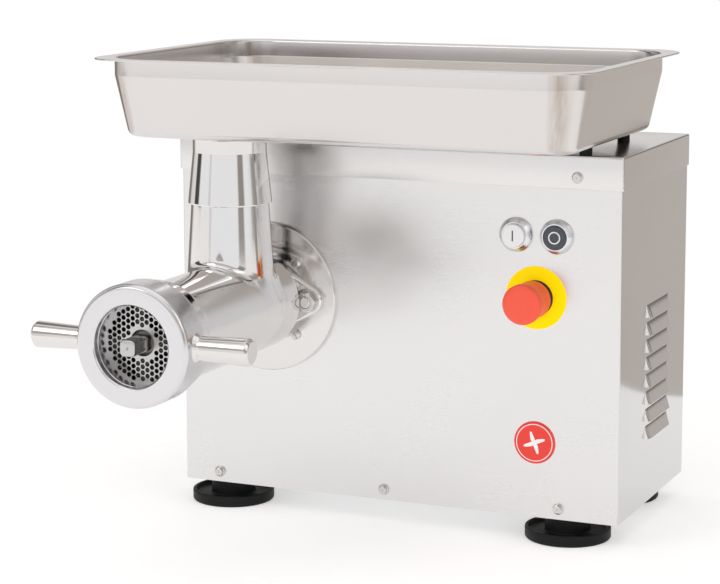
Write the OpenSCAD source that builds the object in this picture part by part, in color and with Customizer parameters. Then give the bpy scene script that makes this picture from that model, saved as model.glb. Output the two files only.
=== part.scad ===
// Electric meat grinder with a sheet-steel housing, a cast grinding head and a lift-off tray.
// Machine frame while modelling: X from the housing's middle to the right, Y from the front
// panel's outer face to the back, Z up from the surface that the feet stand on.

/* [Housing] */
// Width of the housing
body_w = 457; // [430:1:600]
// Depth of the housing
body_d = 222; // [214:1:320]
// Height from the housing's underside to the top of its lid
body_h = 349.2; // [345:0.2:450]
// Gap between the surface and the housing's underside
foot_h = 24; // [18:1:40]
// Thickness of the housing's sheet steel
sheet_t = 1.5; // [1:0.1:2]
// Height of the lid's skirt
skirt_h = 31.5; // [20:0.5:40]
// Clearance between the lid's skirt and the housing
skirt_gap = 0.3; // [0.1:0.1:1]
// Thickness of the base plate
base_t = 3; // [2:0.5:5]
// Height of the base plate's turned-up edges
base_edge = 20; // [18:1:30]
// Diameter of the housing screws' heads
cover_screw_d = 11; // [8:0.5:12]

/* [Feet] */
// Diameter of a foot's cup
foot_d = 83; // [50:1:90]
// Height of a foot's cup
foot_cup_h = 11; // [8:1:15]
// Distance from the housing's left side to a foot's axis
foot_inset_left = 38.5; // [30:0.5:60]
// Distance from the housing's right side to a foot's axis
foot_inset_right = 58.7; // [30:0.1:70]
// Distance from the housing's front or back to a foot's axis
foot_inset_y = 30; // [28:0.5:50]
// Diameter of a foot's upper spacer
foot_neck_d = 44; // [30:1:50]

/* [Louvres] */
// Number of louvres on each side
louvre_count = 8; // [4:1:10]
// Distance between two louvres
louvre_pitch = 17.1; // [15:0.1:20]
// Length of a louvre
louvre_l = 76; // [50:1:90]
// Height of the lowest louvre above the housing's underside
louvre_z = 64; // [50:1:80]
// How far a louvre stands out of the side
louvre_out = 5; // [3:0.5:6]

/* [Head] */
// Distance from the housing's left side to the head's axis
head_inset = 94.6; // [90:0.1:120]
// Height of the head's axis above the housing's underside
head_h = 195; // [180:1:200]
// Diameter of the mounting disc
disc_d = 148; // [146:1:170]
// Thickness of the mounting disc
disc_t = 5; // [4:0.5:8]
// Thickness of the casting's two-lug flange
flange_t = 7; // [6:0.5:10]
// Distance from the head's axis to each stud
stud_reach = 49; // [48:0.1:52]
// Wall of the barrel around the worm's bore
barrel_wall = 8; // [6:0.5:12]
// How far the bell stands out beyond the thread
bell_lip = 2.3; // [1.5:0.1:4]
// Distance from the front panel to the casting's front face
nose_h = 256; // [250:0.2:320]

/* [Hole plate and knife] */
// Diameter of the hole plate
plate_d = 82; // [76:0.1:100]
// Thickness of the hole plate
plate_t = 12; // [8:0.5:14]
// Diameter of the plate's holes
plate_hole_d = 4.5; // [3:0.1:4.8]
// Distance between neighbouring plate holes
plate_pitch = 5.4; // [5.2:0.1:10]
// Width of the ledge that the plate seats on, outside the worm's bore
plate_ledge = 2; // [1.5:0.1:4]
// Thickness of the knife
knife_t = 13; // [10:0.5:13]

/* [Ring nut] */
// Wall of the casting's nose between the plate's seat and the thread's crests
nose_wall = 8.6; // [7:0.1:12]
// Wall of the ring nut outside the thread's crests
ring_wall = 6.5; // [5:0.1:10]
// Length of the ring nut
ring_l = 36; // [34:0.5:45]
// How far the ring nut's lip covers the hole plate's edge
ring_lip = 4; // [3:0.1:8]
// Diameter of a handle at its end
handle_d = 24.6; // [22:0.1:26]
// Diameter of a handle beside the ring nut
handle_root_d = 21.8; // [18:0.1:22]
// Length of a handle outside the ring nut
handle_l = 53; // [40:1:90]

/* [Neck] */
// Distance from the front panel to the neck's axis
neck_y = 82; // [78:1:100]
// Diameter of the feed throat
feed_d = 52; // [45:0.2:64]
// Wall of the neck at its upper end
neck_wall = 6; // [4:0.5:8]
// How much wider the neck is at the skirt's lower edge than at its upper end
neck_flare = 5; // [2:0.5:8]
// Wall of the tray's spout
spout_wall = 2.5; // [2:0.1:3]
// Height of the spout's conical skirt
spout_skirt_h = 49; // [40:1:55]
// Clearance between the spout and the neck
spout_gap = 0.5; // [0.3:0.1:0.8]

/* [Tray] */
// Length of the tray over its rim
tray_l = 498; // [440:1:600]
// Width of the tray over its rim
tray_w = 326; // [300:1:400]
// Depth of the tray from rim to underside
tray_h = 75; // [55:1:110]
// Thickness of the tray's sheet
tray_t = 1.5; // [1:0.1:2]
// Width of the tray's rim
rim_w = 12; // [8:0.5:15]
// Outer corner radius of the rim
rim_r = 39.5; // [36:0.5:60]
// Corner radius of the tray's walls at the band
pan_r = 46; // [34:0.5:60]
// Height of the tray's upright band below the rim
band_h = 17; // [10:0.5:25]
// How far the tray's foot lies inside its rim
tray_draft = 27.7; // [20:0.1:30]
// Gap between the lid and the tray's underside
tray_gap = 12.3; // [10:0.1:20]
// Offset of the tray's middle from the housing's middle, to the left
tray_shift = 8.7; // [0:0.1:20]
// Distance from the front panel back to the tray's middle
tray_y = 15; // [10:1:30]

/* [Controls] */
// Distance from the housing's right side to the emergency stop's axis
control_inset = 82.7; // [75:0.1:90]
// Height of the emergency stop above the housing's underside
estop_z = 212.6; // [200:0.1:215]
// Height of the two push buttons above the housing's underside
button_z = 271.8; // [268:0.1:275]
// Distance between the two push buttons
button_pitch = 40.3; // [38:0.1:44]
// Diameter of a push button's bezel
bezel_d = 33.3; // [30:0.1:35]
// Diameter of the yellow disc
estop_disc_d = 60; // [50:1:62]
// Diameter of the emergency stop's mushroom
mushroom_d = 38; // [35:1:44]
// Height of the badge above the housing's underside
badge_z = 73; // [70:1:80]
// Diameter of the badge
badge_d = 41; // [30:1:50]
// Diameter of the holes that the controls sit in
panel_hole_d = 22.4; // [22:0.1:24]

/* [Drive] */
// Module of the output gear pair
out_module = 2; // [2]
// Teeth of the output gear
out_teeth = 64; // [64]
// Teeth of the intermediate pinion
mid_pinion_teeth = 24; // [24]
// Module of the motor gear pair
in_module = 1.5; // [1.5]
// Teeth of the intermediate gear
mid_teeth = 81; // [81]
// Teeth of the motor pinion
motor_teeth = 20; // [20]
// Width of the output gear
out_face = 20; // [16:1:20]
// Width of the intermediate gear
mid_face = 14; // [10:1:14]
// Thickness taken off each tooth for backlash
backlash = 0.16; // [0.1:0.01:0.3]
// Outer diameter of the motor
motor_d = 146; // [120:1:150]
// Length of the motor's frame
motor_l = 88; // [80:1:90]
// Clearance between the worm and its bore
worm_gap = 0.8; // [0.4:0.1:3]
// Pitch of the worm's flight
worm_pitch = 50; // [40:1:60]
// Radial clearance of every shaft in its bearing
running_gap = 0.05; // [0.03:0.01:0.09]

/* [Hidden] */
$fn = 64;

// Diameters that follow from the hole plate
bore_d = plate_d - 2 * plate_ledge;
worm_d = bore_d - 2 * worm_gap;
barrel_d = bore_d + 2 * barrel_wall;
seat_gap = 0.1;
plate_seat_r = plate_d / 2 + seat_gap;
thread_d = 2 * (plate_seat_r + nose_wall);
bell_d = thread_d + 2 * bell_lip;
ring_d = thread_d + 2 * ring_wall;
ring_open_d = plate_d - 2 * ring_lip;
handle_reach = ring_d / 2 + handle_l;

// Overall box, which puts the origin at its bottom middle
stud_out = 29;
gland_out = 24;
left_x = min(-tray_shift - tray_l / 2, head_x() - handle_reach, -body_w / 2 - lid_over());
right_x = max(-tray_shift + tray_l / 2, body_w / 2 + louvre_out, body_w / 2 + lid_over());
origin_x = (left_x + right_x) / 2;
origin_y = (body_d + gland_out - tip_h()) / 2;

function head_x() = head_inset - body_w / 2;
function lid_over() = sheet_t + skirt_gap;
function tip_h() = nose_h + stud_out;

// Heights in the machine frame
head_z = foot_h + head_h;
lid_top = foot_h + body_h;
shell_top = lid_top - sheet_t;
tray_z = lid_top + tray_gap;
control_x = body_w / 2 - control_inset;

// Positions along the head, as distances in front of the panel
plate_out = 1;
ring_out = 23.2;
bell_l = 26;
disc_h = disc_t;
flange_h = disc_h + flange_t;
plate_face_h = nose_h + plate_out;
plate_back_h = plate_face_h - plate_t;
knife_back_h = plate_back_h - knife_t;
ring_front_h = nose_h + ring_out;
ring_back_h = ring_front_h - ring_l;
waist_l = 11;
shoulder_h = flange_h + waist_l;
rear_wall_h = shoulder_h + 7;
washer_t = 4;
worm_back_h = rear_wall_h + washer_t;

// Radii of the head
thread_gap = 0.3;
thread_bore_r = thread_d / 2 + thread_gap;
journal_r = 12.1;
square_w = 15;
stud_shank_r = 8;
journal_recess = 3.5;
stud_r = 6;
stud_hole_r = stud_r + 0.25;
lug_r = 14;
nut_h = 10;
nut_r = 11;
waist_r = stud_reach - nut_r - 1.5;
shoulder_l = 10;
disc_screw_x = 32.4;
disc_screw_z = 35.8;
disc_screw_r = 3;

// Feed throat and spout
spout_collar_h = 13.5;
neck_end_gap = 5.5;
throat_r = feed_d / 2 + 0.5;
neck_tip_r = feed_d / 2 + neck_wall;
spout_d = 2 * (neck_tip_r + spout_gap + spout_wall);
neck_d = 2 * (neck_tip_r + neck_flare);
neck_base_inset = 3.2;
neck_base_r = barrel_d / 2 - neck_base_inset;
neck_mouth_z = tray_z - spout_collar_h - spout_skirt_h;
spout_top_z = tray_z - spout_collar_h;
neck_top_z = tray_z - neck_end_gap;
spout_skirt_r = neck_d / 2 + spout_gap + spout_wall;

// Gearbox and motor positions, as distances behind the panel
case_front = sheet_t;
wall_t = 14;
cavity_front = case_front + wall_t;
case_back = 62;
cover_back = case_back + wall_t;
gear_start = cavity_front + 4;
mid_start = gear_start + out_face + 5;
out_centre = out_module * (out_teeth + mid_pinion_teeth) / 2;
in_centre = in_module * (mid_teeth + motor_teeth) / 2;
mid_x = head_x() + out_centre;
motor_x = mid_x + in_centre;
motor_back = cover_back + motor_l;
shield_back = motor_back + 9;
fan_back = shield_back + 22;
fan_cover_back = shield_back + 27;
case_margin = 10;
case_r = 40;
case_left = head_x() - out_module * (out_teeth + 2) / 2 - case_margin;
case_right = motor_x + 36;
case_half_z = out_module * (out_teeth + 2) / 2 + case_margin;
case_wall = 7;

// Shafts and bearings
shaft_r = 17.5;
shaft_tail_r = 12.5;
out_bearing_r = 31;
out_rear_bearing_r = 26;
mid_shaft_r = 10;
mid_bearing_r = 21;
motor_shaft_r = 9;
motor_bearing_r = 20;
rotor_r = 41.5;
rotor_air_gap = 0.5;
stator_wall = 3;

// Push buttons
start_x = control_x - button_pitch / 2;
stop_x = control_x + button_pitch / 2;
start_r = 11;
stop_r = 11.5;
button_gap = 0.3;
start_out = 11.5;
stop_out = 9;
bezel_out = 7.5;
plunger_r = 5;
block_w = 28;
block_h = 40;
block_l = 36;
block_start = 12;

// ---------- helpers ----------

// A flat outline in X and Z, made solid from y = a back to y = b
module span(a, b) {
    translate([0, b, 0])
        rotate([90, 0, 0])
            linear_extrude(b - a)
                children();
}

// A round bar along Y
module rod(a, b, r) {
    span(a, b)
        circle(r);
}

// A ring along Y
module ring_y(a, b, r, hole_r) {
    span(a, b)
        difference() {
            circle(r);
            circle(hole_r);
        }
}

// A turned solid about Y from a profile of [radius, distance in front of the panel]
module lathe(profile) {
    rotate([90, 0, 0])
        rotate_extrude()
            polygon(profile);
}

module at_head() {
    translate([head_x(), 0, head_z])
        children();
}

module at_mid() {
    translate([mid_x, 0, head_z])
        children();
}

module at_motor() {
    translate([motor_x, 0, head_z])
        children();
}

module at_neck() {
    translate([head_x(), -neck_y, 0])
        children();
}

// Both mirrored copies across the housing's middle
module both_sides() {
    for (side = [0, 1])
        mirror([side, 0, 0])
            children();
}

// A flat rectangle with true round corners
module rounded(l, w, r) {
    square([l - 2 * r, w], center = true);
    square([l, w - 2 * r], center = true);
    for (x = [-1, 1])
        for (y = [-1, 1])
            translate([x * (l / 2 - r), y * (w / 2 - r)])
                circle(r);
}

// Involute gear outline with its first tooth on the +X axis
function involute(base, a) = [
    base * (cos(a) + a * PI / 180 * sin(a)),
    base * (sin(a) - a * PI / 180 * cos(a))
];
function turned(p, a) = [p[0] * cos(a) - p[1] * sin(a), p[0] * sin(a) + p[1] * cos(a)];
function flank_angle(base, r) = r <= base ? 0 : sqrt(pow(r / base, 2) - 1) * 180 / PI;
pressure_angle = 20;
flank_steps = 3;

module gear_outline(m, teeth) {
    pitch_r = m * teeth / 2;
    base_r = pitch_r * cos(pressure_angle);
    tip_r = pitch_r + m;
    root_r = pitch_r - 1.25 * m;
    start_r = max(base_r, root_r);
    lean = tan(pressure_angle) * 180 / PI - pressure_angle;
    half = 90 / teeth - backlash / 2 / pitch_r * 180 / PI + lean;
    radii = [for (i = [0:flank_steps]) start_r + (tip_r - start_r) * i / flank_steps];
    right = [for (r = radii) turned(involute(base_r, flank_angle(base_r, r)), -half)];
    left = [for (p = right) [p[0], -p[1]]];
    root_half = atan2(-right[0][1], right[0][0]);
    root_low = turned([root_r, 0], -root_half);
    root_high = turned([root_r, 0], root_half);
    tooth = concat(
        [root_low], right, [for (i = [flank_steps:-1:0]) left[i]], [root_high]
    );
    polygon([for (k = [0:teeth - 1]) for (p = tooth) turned(p, 360 * k / teeth)]);
}

// ---------- housing ----------

module base_plate() {
    inner_w = body_w - 2 * sheet_t;
    inner_d = body_d - 2 * sheet_t;
    color("silver")
        difference() {
            translate([0, sheet_t, foot_h])
                linear_extrude(base_edge)
                    front_bent(inner_w, inner_d, bend_r - sheet_t);
            translate([-inner_w / 2 + base_t, sheet_t + base_t, foot_h + base_t])
                cube([inner_w - 2 * base_t, inner_d - 2 * base_t, base_edge]);
            for (x = cover_screw_xs)
                translate([x, 0, foot_h + cover_screw_z])
                    rod(-1, body_d + 1, cover_screw_r);
            foot_places()
                cylinder(h = 4 * base_t, r = foot_bolt_r, center = true);
        }
}

cover_screw_z = 10.5;
cover_screw_r = 2.5;
foot_xs = [foot_inset_left - body_w / 2, body_w / 2 - foot_inset_right];
cover_screw_xs = [foot_xs[0], (foot_xs[0] + foot_xs[1]) / 2, foot_xs[1]];
lid_screw_inset = 42.7;
lid_screw_x = body_w / 2 - lid_screw_inset;
lid_screw_z = body_h - 20.5;
foot_bolt_r = 4;

// The four foot axes, at the height of the housing's underside
module foot_places() {
    for (x = foot_xs)
        for (y = [foot_inset_y, body_d - foot_inset_y])
            translate([x, y, foot_h])
                children();
}

bend_r = 2.5;

module housing_shell() {
    height = shell_top - foot_h;
    color("silver")
        difference() {
            translate([0, 0, foot_h])
                linear_extrude(height)
                    difference() {
                        front_bent(body_w, body_d - sheet_t, bend_r);
                        translate([0, sheet_t])
                            front_bent(body_w - 2 * sheet_t, body_d, bend_r - sheet_t);
                    }
            at_head()
                rod(-1, sheet_t + 1, out_bearing_r);
            at_head()
                head_fixing_holes(-1, sheet_t + 1);
            for (x = [start_x, stop_x])
                translate([x, 0, foot_h + button_z])
                    rod(-1, sheet_t + 1, panel_hole_d / 2);
            translate([control_x, 0, foot_h + estop_z])
                rod(-1, sheet_t + 1, panel_hole_d / 2);
            for (x = cover_screw_xs)
                translate([x, 0, foot_h + cover_screw_z])
                    rod(-1, sheet_t + 1, cover_screw_r);
            for (x = [-1, 1])
                translate([x * lid_screw_x, 0, foot_h + lid_screw_z])
                    rod(-1, sheet_t + 1, cover_screw_r);
            both_sides()
                louvre_places()
                    translate([-sheet_t - 1, 0, -louvre_slot])
                        cube([sheet_t + 2, louvre_l - 4, louvre_slot]);
        }
    color("silver")
        both_sides()
            louvre_places()
                louvre_hood();
}

louvre_slot = 7;
louvre_shift = 7;

// Where each louvre's upper front corner lies on the right side
module louvre_places() {
    first_y = (body_d - louvre_l) / 2 + louvre_shift;
    for (i = [0:louvre_count - 1])
        translate([body_w / 2, first_y, foot_h + louvre_z + louvre_slot + i * louvre_pitch])
            children();
}

// A pressed hood over one slot, open downwards, with closed ends
module louvre_hood() {
    top = 6;
    steps = 5;
    outer = [for (i = [0:steps]) [louvre_out * sin(90 * i / steps), top * cos(90 * i / steps)]];
    inner = [for (i = [steps:-1:0])
        [(louvre_out - 1.2) * sin(90 * i / steps), (top - 1.2) * cos(90 * i / steps)]];
    lip = louvre_slot - 1;
    translate([0, louvre_l - 2, 0])
        rotate([90, 0, 0])
            linear_extrude(louvre_l)
                polygon(concat(outer, [[louvre_out, -lip], [louvre_out - 1.2, -lip]], inner));
    for (y = [-2, louvre_l - 3.2])
        translate([0, y + 1.2, 0])
            rotate([90, 0, 0])
                linear_extrude(1.2)
                    polygon(concat([[0, -lip]], outer, [[louvre_out, -lip]]));
}

// A rectangle whose two front corners are rounded, its front edge on y = 0
module front_bent(w, d, r) {
    translate([-w / 2, r])
        square([w, d - r]);
    translate([-w / 2 + r, 0])
        square([w - 2 * r, r]);
    for (x = [-1, 1])
        translate([x * (w / 2 - r), r])
            circle(r);
}

vent_slots = 7;
gland_x = 120;
gland_z = 70;
gland_r = 10;

module rear_cover() {
    color("silver")
        translate([0, body_d - sheet_t, 0])
            difference() {
                translate([-body_w / 2, 0, foot_h])
                    cube([body_w, sheet_t, shell_top - foot_h]);
                for (i = [0:vent_slots - 1])
                    translate([motor_x - 45, 0, head_z - 36 + i * 12])
                        rotate([90, 0, 0])
                            linear_extrude(8, center = true)
                                slot_outline(90, 5);
                for (x = cover_screw_xs)
                    translate([x, 0, foot_h + cover_screw_z])
                        rod(-1, sheet_t + 1, cover_screw_r);
                for (x = [-1, 1])
                    translate([x * lid_screw_x, 0, foot_h + lid_screw_z])
                        rod(-1, sheet_t + 1, cover_screw_r);
                translate([gland_x, 0, foot_h + gland_z])
                    rod(-1, sheet_t + 1, gland_r);
            }
}

// A slot with round ends, starting at the left end of its straight part
module slot_outline(l, w) {
    translate([0, -w / 2])
        square([l, w]);
    for (x = [0, l])
        translate([x, 0])
            circle(w / 2);
}

module lid() {
    w = body_w + 2 * lid_over();
    d = body_d + 2 * lid_over();
    color("gainsboro")
        difference() {
            translate([0, -lid_over(), lid_top - skirt_h])
                linear_extrude(skirt_h)
                    lid_outline(w, d, 2);
            translate([0, -lid_over() + sheet_t, lid_top - skirt_h - 1])
                linear_extrude(skirt_h + 1 - sheet_t)
                    lid_outline(w - 2 * sheet_t, d - 2 * sheet_t, 0.6);
            for (x = [-1, 1])
                translate([x * lid_screw_x, 0, foot_h + lid_screw_z])
                    rod(-2 * lid_over(), body_d + 2 * lid_over(), cover_screw_r);
        }
}

// A rounded rectangle whose front edge lies on y = 0
module lid_outline(w, d, r) {
    translate([0, d / 2])
        rounded(w, d, r);
}

rest_r = 6;
rest_front_y = 9;
rest_inset = 12;

// Two buffers under the tray's right end and one under its left end, all on the lid
module tray_rests() {
    inset = tray_draft + foot_round + rest_r + rest_inset;
    x = min(tray_l / 2 - tray_shift - inset, body_w / 2 - rest_r - 3);
    back_y = tray_y + tray_w / 2 - inset;
    color("dimgray")
        for (p = [[x, rest_front_y], [x, back_y], [-x, back_y]])
            translate([p[0], p[1], lid_top])
                cylinder(h = tray_gap, r = rest_r);
}

// A domed screw from the outside inwards, its head seated on y = 0
module cover_screw(shank) {
    head_l = 4.2;
    head_r = cover_screw_d / 2;
    lathe([
        [0, -shank], [cover_screw_r, -shank], [cover_screw_r, 0], [head_r, 0],
        [head_r, head_l * 0.35], [head_r * 0.86, head_l * 0.72], [head_r * 0.5, head_l * 0.95],
        [0, head_l]
    ]);
}

module cover_screws() {
    shank = 9;
    color("lightgray") {
        for (x = cover_screw_xs) {
            translate([x, 0, foot_h + cover_screw_z])
                cover_screw(shank);
            translate([x, body_d, foot_h + cover_screw_z])
                rotate([0, 0, 180])
                    cover_screw(shank);
        }
        for (x = [-1, 1]) {
            translate([x * lid_screw_x, -lid_over(), foot_h + lid_screw_z])
                cover_screw(shank);
            translate([x * lid_screw_x, body_d + lid_over(), foot_h + lid_screw_z])
                rotate([0, 0, 180])
                    cover_screw(shank);
        }
    }
}

module rubber_feet() {
    cup_r = foot_d / 2;
    wall = 3.5;
    floor_t = 4;
    color("black")
        foot_places()
            translate([0, 0, -foot_h])
                rotate_extrude()
                    polygon([
                        [foot_bolt_r, 3], [cup_r - 8, 3], [cup_r - 6, 0], [cup_r - 1.5, 0],
                        [cup_r, 1.5], [cup_r, foot_cup_h - 1], [cup_r - 1, foot_cup_h],
                        [cup_r - wall, foot_cup_h], [cup_r - wall - 1, floor_t + 3],
                        [foot_neck_d / 2, floor_t + 3], [foot_neck_d / 2, foot_h],
                        [foot_bolt_r, foot_h]
                    ]);
}

module foot_bolts() {
    bolt_head_h = 6;
    bolt_head_r = 7.5;
    color("lightgray")
        foot_places() {
            translate([0, 0, 3 - foot_h])
                cylinder(h = foot_h - 3 + base_t, r = foot_bolt_r);
            translate([0, 0, base_t])
                cylinder(h = bolt_head_h, r = bolt_head_r, $fn = 6);
        }
}

module badge() {
    r = badge_d / 2;
    color("crimson")
        translate([control_x, 0, foot_h + badge_z])
            lathe([[0, 0], [r, 0], [r, 0.8], [r - 0.8, 1.5], [r * 0.6, 1.9], [0, 2]]);
}

module cable_gland() {
    bore_r = 4.5;
    color("dimgray")
        translate([gland_x, body_d, foot_h + gland_z]) {
            ring_y(-sheet_t - 8, 0, gland_r, bore_r);
            span(-sheet_t - 8, -sheet_t)
                difference() {
                    circle(14, $fn = 6);
                    circle(gland_r);
                }
            span(0, 8)
                difference() {
                    circle(15, $fn = 6);
                    circle(bore_r);
                }
            rotate([0, 0, 180])
                lathe([
                    [bore_r, 8], [12.5, 8], [12.5, 16], [9, gland_out], [bore_r, gland_out]
                ]);
        }
}

// ---------- grinding head ----------

// Screw and stud holes that the disc, the panel and the gearbox share
module head_fixing_holes(a, b) {
    for (x = [-1, 1])
        translate([x * stud_reach, 0, 0])
            rod(a, b, stud_hole_r);
    for (x = [-1, 1])
        for (z = [-1, 1])
            translate([x * disc_screw_x, 0, z * disc_screw_z])
                rod(a, b, disc_screw_r);
}

module mounting_disc() {
    r = disc_d / 2;
    color("lightgray")
        at_head()
            difference() {
                lathe([[out_bearing_r, 0], [r, 0], [r, disc_h - 1.5], [r - 1.5, disc_h],
                    [out_bearing_r, disc_h]]);
                head_fixing_holes(-disc_h - 1, 1);
            }
}

module disc_screws() {
    head_r = 5;
    head_l = 3;
    color("lightgray")
        at_head()
            for (x = [-1, 1])
                for (z = [-1, 1])
                    translate([x * disc_screw_x, 0, z * disc_screw_z])
                        difference() {
                            lathe([
                                [0, -sheet_t - 8], [disc_screw_r, -sheet_t - 8],
                                [disc_screw_r, disc_h], [head_r, disc_h],
                                [head_r, disc_h + head_l - 1], [head_r - 1, disc_h + head_l],
                                [0, disc_h + head_l]
                            ]);
                            rotate([0, 45 * x * z, 0])
                                translate([-head_r, -disc_h - head_l - 1, -0.6])
                                    cube([2 * head_r, 2.2, 1.2]);
                        }
}

// Flat outline of the casting's two-lug flange
module flange_outline() {
    circle(waist_r);
    for (x = [-1, 1])
        translate([x * stud_reach, 0])
            circle(lug_r);
    lean = asin((waist_r - lug_r) / stud_reach);
    hub = [for (s = [-1, 1]) waist_r * [sin(lean), s * cos(lean)]];
    lug = [for (s = [-1, 1]) [stud_reach, 0] + lug_r * [sin(lean), s * cos(lean)]];
    for (x = [-1, 1])
        scale([x, 1])
            polygon([hub[0], lug[0], lug[1], hub[1]]);
}

// Outer profile of the barrel, from the flange to the threaded nose
function barrel_profile() = concat(
    [[0, disc_h], [waist_r, disc_h], [waist_r, shoulder_h], [barrel_d / 2 - 4, shoulder_h]],
    [for (i = [1:5]) [
        barrel_d / 2 - 4 * (1 - sin(18 * i)),
        shoulder_h + shoulder_l * (1 - cos(18 * i))
    ]],
    [[barrel_d / 2, ring_back_h - 3 - bell_l]],
    [for (i = [1:6]) [
        barrel_d / 2 + (bell_d - barrel_d) / 2 * (1 - cos(30 * i)) / 2,
        ring_back_h - 3 - bell_l + bell_l * i / 8
    ]],
    [
        [bell_d / 2, ring_back_h - 3], [bell_d / 2 - 1, ring_back_h - 2],
        [thread_d / 2 - 1.2, ring_back_h - 2]
    ],
    thread_profile(),
    [[thread_d / 2 - 1.5, nose_h], [0, nose_h]]
);

// Zigzag of the thread's crests and roots
thread_pitch = 4;
thread_turns = floor((nose_h - ring_back_h) / thread_pitch);
function thread_profile() = [
    for (i = [0:thread_turns - 1]) for (p = [[1.2, 0], [0, 0.3], [0, 0.5], [1.2, 0.8]])
        [thread_d / 2 - p[0], ring_back_h - 1.5 + (i + p[1]) * thread_pitch]
];

module head_casting() {
    color("lightgray")
        at_head()
            difference() {
                union() {
                    span(-flange_h, -disc_h)
                        flange_outline();
                    lathe(barrel_profile());
                    translate([0, -neck_y, 0])
                        neck_solid();
                }
                rod(-plate_back_h + 0.01, -rear_wall_h, bore_d / 2);
                rod(-nose_h - 1, -knife_back_h, plate_seat_r);
                rod(-rear_wall_h - 1, 0, shaft_r + 3);
                translate([0, -neck_y, 0])
                    cylinder(h = neck_top_z - head_z + 1, r = throat_r);
                for (x = [-1, 1])
                    translate([x * stud_reach, 0, 0])
                        rod(-flange_h - 1, 0, stud_hole_r);
                translate([0, 0, -plate_seat_r])
                    rod(-nose_h - 1, -plate_back_h, key_r);
            }
}

module neck_solid() {
    mouth = neck_mouth_z - head_z;
    shoulder = spout_top_z - head_z;
    top = neck_top_z - head_z;
    rotate_extrude()
        polygon([
            [0, 0], [neck_base_r, 0], [neck_d / 2, mouth], [neck_tip_r, shoulder], [neck_tip_r, top],
            [0, top]
        ]);
}

module head_studs() {
    color("gray")
        at_head()
            for (x = [-1, 1])
                translate([x * stud_reach, 0, 0])
                    rod(-flange_h - nut_h - 0.6, cavity_front - 2, stud_r);
}

module head_nuts() {
    color("silver")
        at_head()
            for (x = [-1, 1])
                translate([x * stud_reach, 0, 0])
                    difference() {
                        union() {
                            span(-flange_h - nut_h, -flange_h - 1.5)
                                rotate(30)
                                    circle(nut_r, $fn = 6);
                            rod(-flange_h - 1.5, -flange_h, nut_r + 0.5);
                        }
                        rod(-flange_h - nut_h - 1, 0, stud_r);
                    }
}

key_r = 2.4;

module plate_key() {
    color("gray")
        at_head()
            translate([0, 0, -plate_seat_r])
                rod(-nose_h + 1, -plate_back_h, key_r);
}

// Plate holes on a hexagonal grid, in columns, between the hub and the rim
plate_grid = ceil(plate_d / plate_pitch / 2) + 2;
plate_field_r = plate_d / 2 - 6;
plate_hub_r = 15.5;
function plate_points() = [
    for (i = [-plate_grid:plate_grid]) for (j = [-plate_grid:plate_grid])
        let (p = [i * plate_pitch * sin(60), (j + (i % 2 == 0 ? 0 : 0.5)) * plate_pitch])
        if (norm(p) < plate_field_r && norm(p) > plate_hub_r) p
];

module hole_plate() {
    color("gainsboro")
        at_head()
            span(-plate_face_h, -plate_back_h)
                difference() {
                    circle(plate_d / 2);
                    circle(journal_r + 0.08);
                    translate([0, -plate_seat_r])
                        circle(key_r + 0.3);
                    for (p = plate_points())
                        translate(p)
                            circle(plate_hole_d / 2, $fn = 24);
                }
}

socket_depth = 5;
spigot_r = 8;

module ring_nut() {
    r = ring_d / 2;
    open_r = ring_open_d / 2;
    color("lightgray")
        at_head()
            difference() {
                lathe([
                    [thread_bore_r, ring_back_h], [r - 1.5, ring_back_h], [r, ring_back_h + 1.5],
                    [r, ring_front_h - 3], [r - 0.9, ring_front_h - 0.9], [r - 3, ring_front_h],
                    [open_r + 1, ring_front_h], [open_r, ring_front_h - 1],
                    [open_r, plate_face_h], [thread_bore_r, plate_face_h]
                ]);
                for (side = [0, 180])
                    rotate([0, side, 0])
                        translate([r - socket_depth, -ring_mid_h, 0])
                            rotate([0, 90, 0])
                                cylinder(h = socket_depth + 1, r = spigot_r);
            }
}

ring_mid_h = (ring_front_h + ring_back_h) / 2 - 3.5;

module ring_handles() {
    r = handle_d / 2;
    root_r = handle_root_d / 2;
    start = ring_d / 2;
    color("silver")
        at_head()
            for (side = [0, 180])
                rotate([0, side, 0])
                    translate([0, -ring_mid_h, 0])
                        rotate([0, 90, 0])
                            rotate_extrude()
                                polygon([
                                    [0, start - socket_depth], [spigot_r, start - socket_depth],
                                    [spigot_r, start + 0.6], [root_r - 1.2, start + 2.5],
                                    [root_r, start + 6], [r, handle_reach - 3],
                                    [r - 0.8, handle_reach - 0.9], [r - 3, handle_reach],
                                    [0, handle_reach]
                                ]);
}

worm_core_r = 16;
flight_angle = 50;
flight_steps = 4;
worm_slices = 48;

module worm() {
    length = knife_back_h - worm_back_h;
    flight = [for (i = [0:flight_steps]) worm_d / 2 * [
        cos(flight_angle * (i / flight_steps - 0.5)), sin(flight_angle * (i / flight_steps - 0.5))]];
    color("silver")
        at_head()
            difference() {
                translate([0, -worm_back_h, 0])
                    rotate([90, 0, 0])
                        linear_extrude(length, twist = 360 * length / worm_pitch, slices = worm_slices)
                            union() {
                                circle(worm_core_r, $fn = 18);
                                polygon(concat([[0, 0]], flight));
                            }
                rod(-knife_back_h - 1, -knife_back_h + stud_seat, stud_shank_r);
                span(-worm_back_h - tang_l, -worm_back_h + 1)
                    square(tang_w, center = true);
            }
}

stud_seat = 30;

module worm_stud() {
    color("darkgray")
        at_head()
            difference() {
                union() {
                    rod(-knife_back_h, -knife_back_h + stud_seat, stud_shank_r);
                    span(-plate_back_h, -knife_back_h)
                        square(square_w, center = true);
                    rod(-plate_face_h + journal_recess, -plate_back_h, journal_r);
                    span(-tip_h(), -plate_face_h + journal_recess)
                        rounded(square_w, square_w, 2.5);
                }
                translate([0, -tip_h() - 0.01, 0])
                    rotate([-90, 0, 0])
                        cylinder(h = 3, r1 = 3, r2 = 0.5);
            }
}

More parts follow.
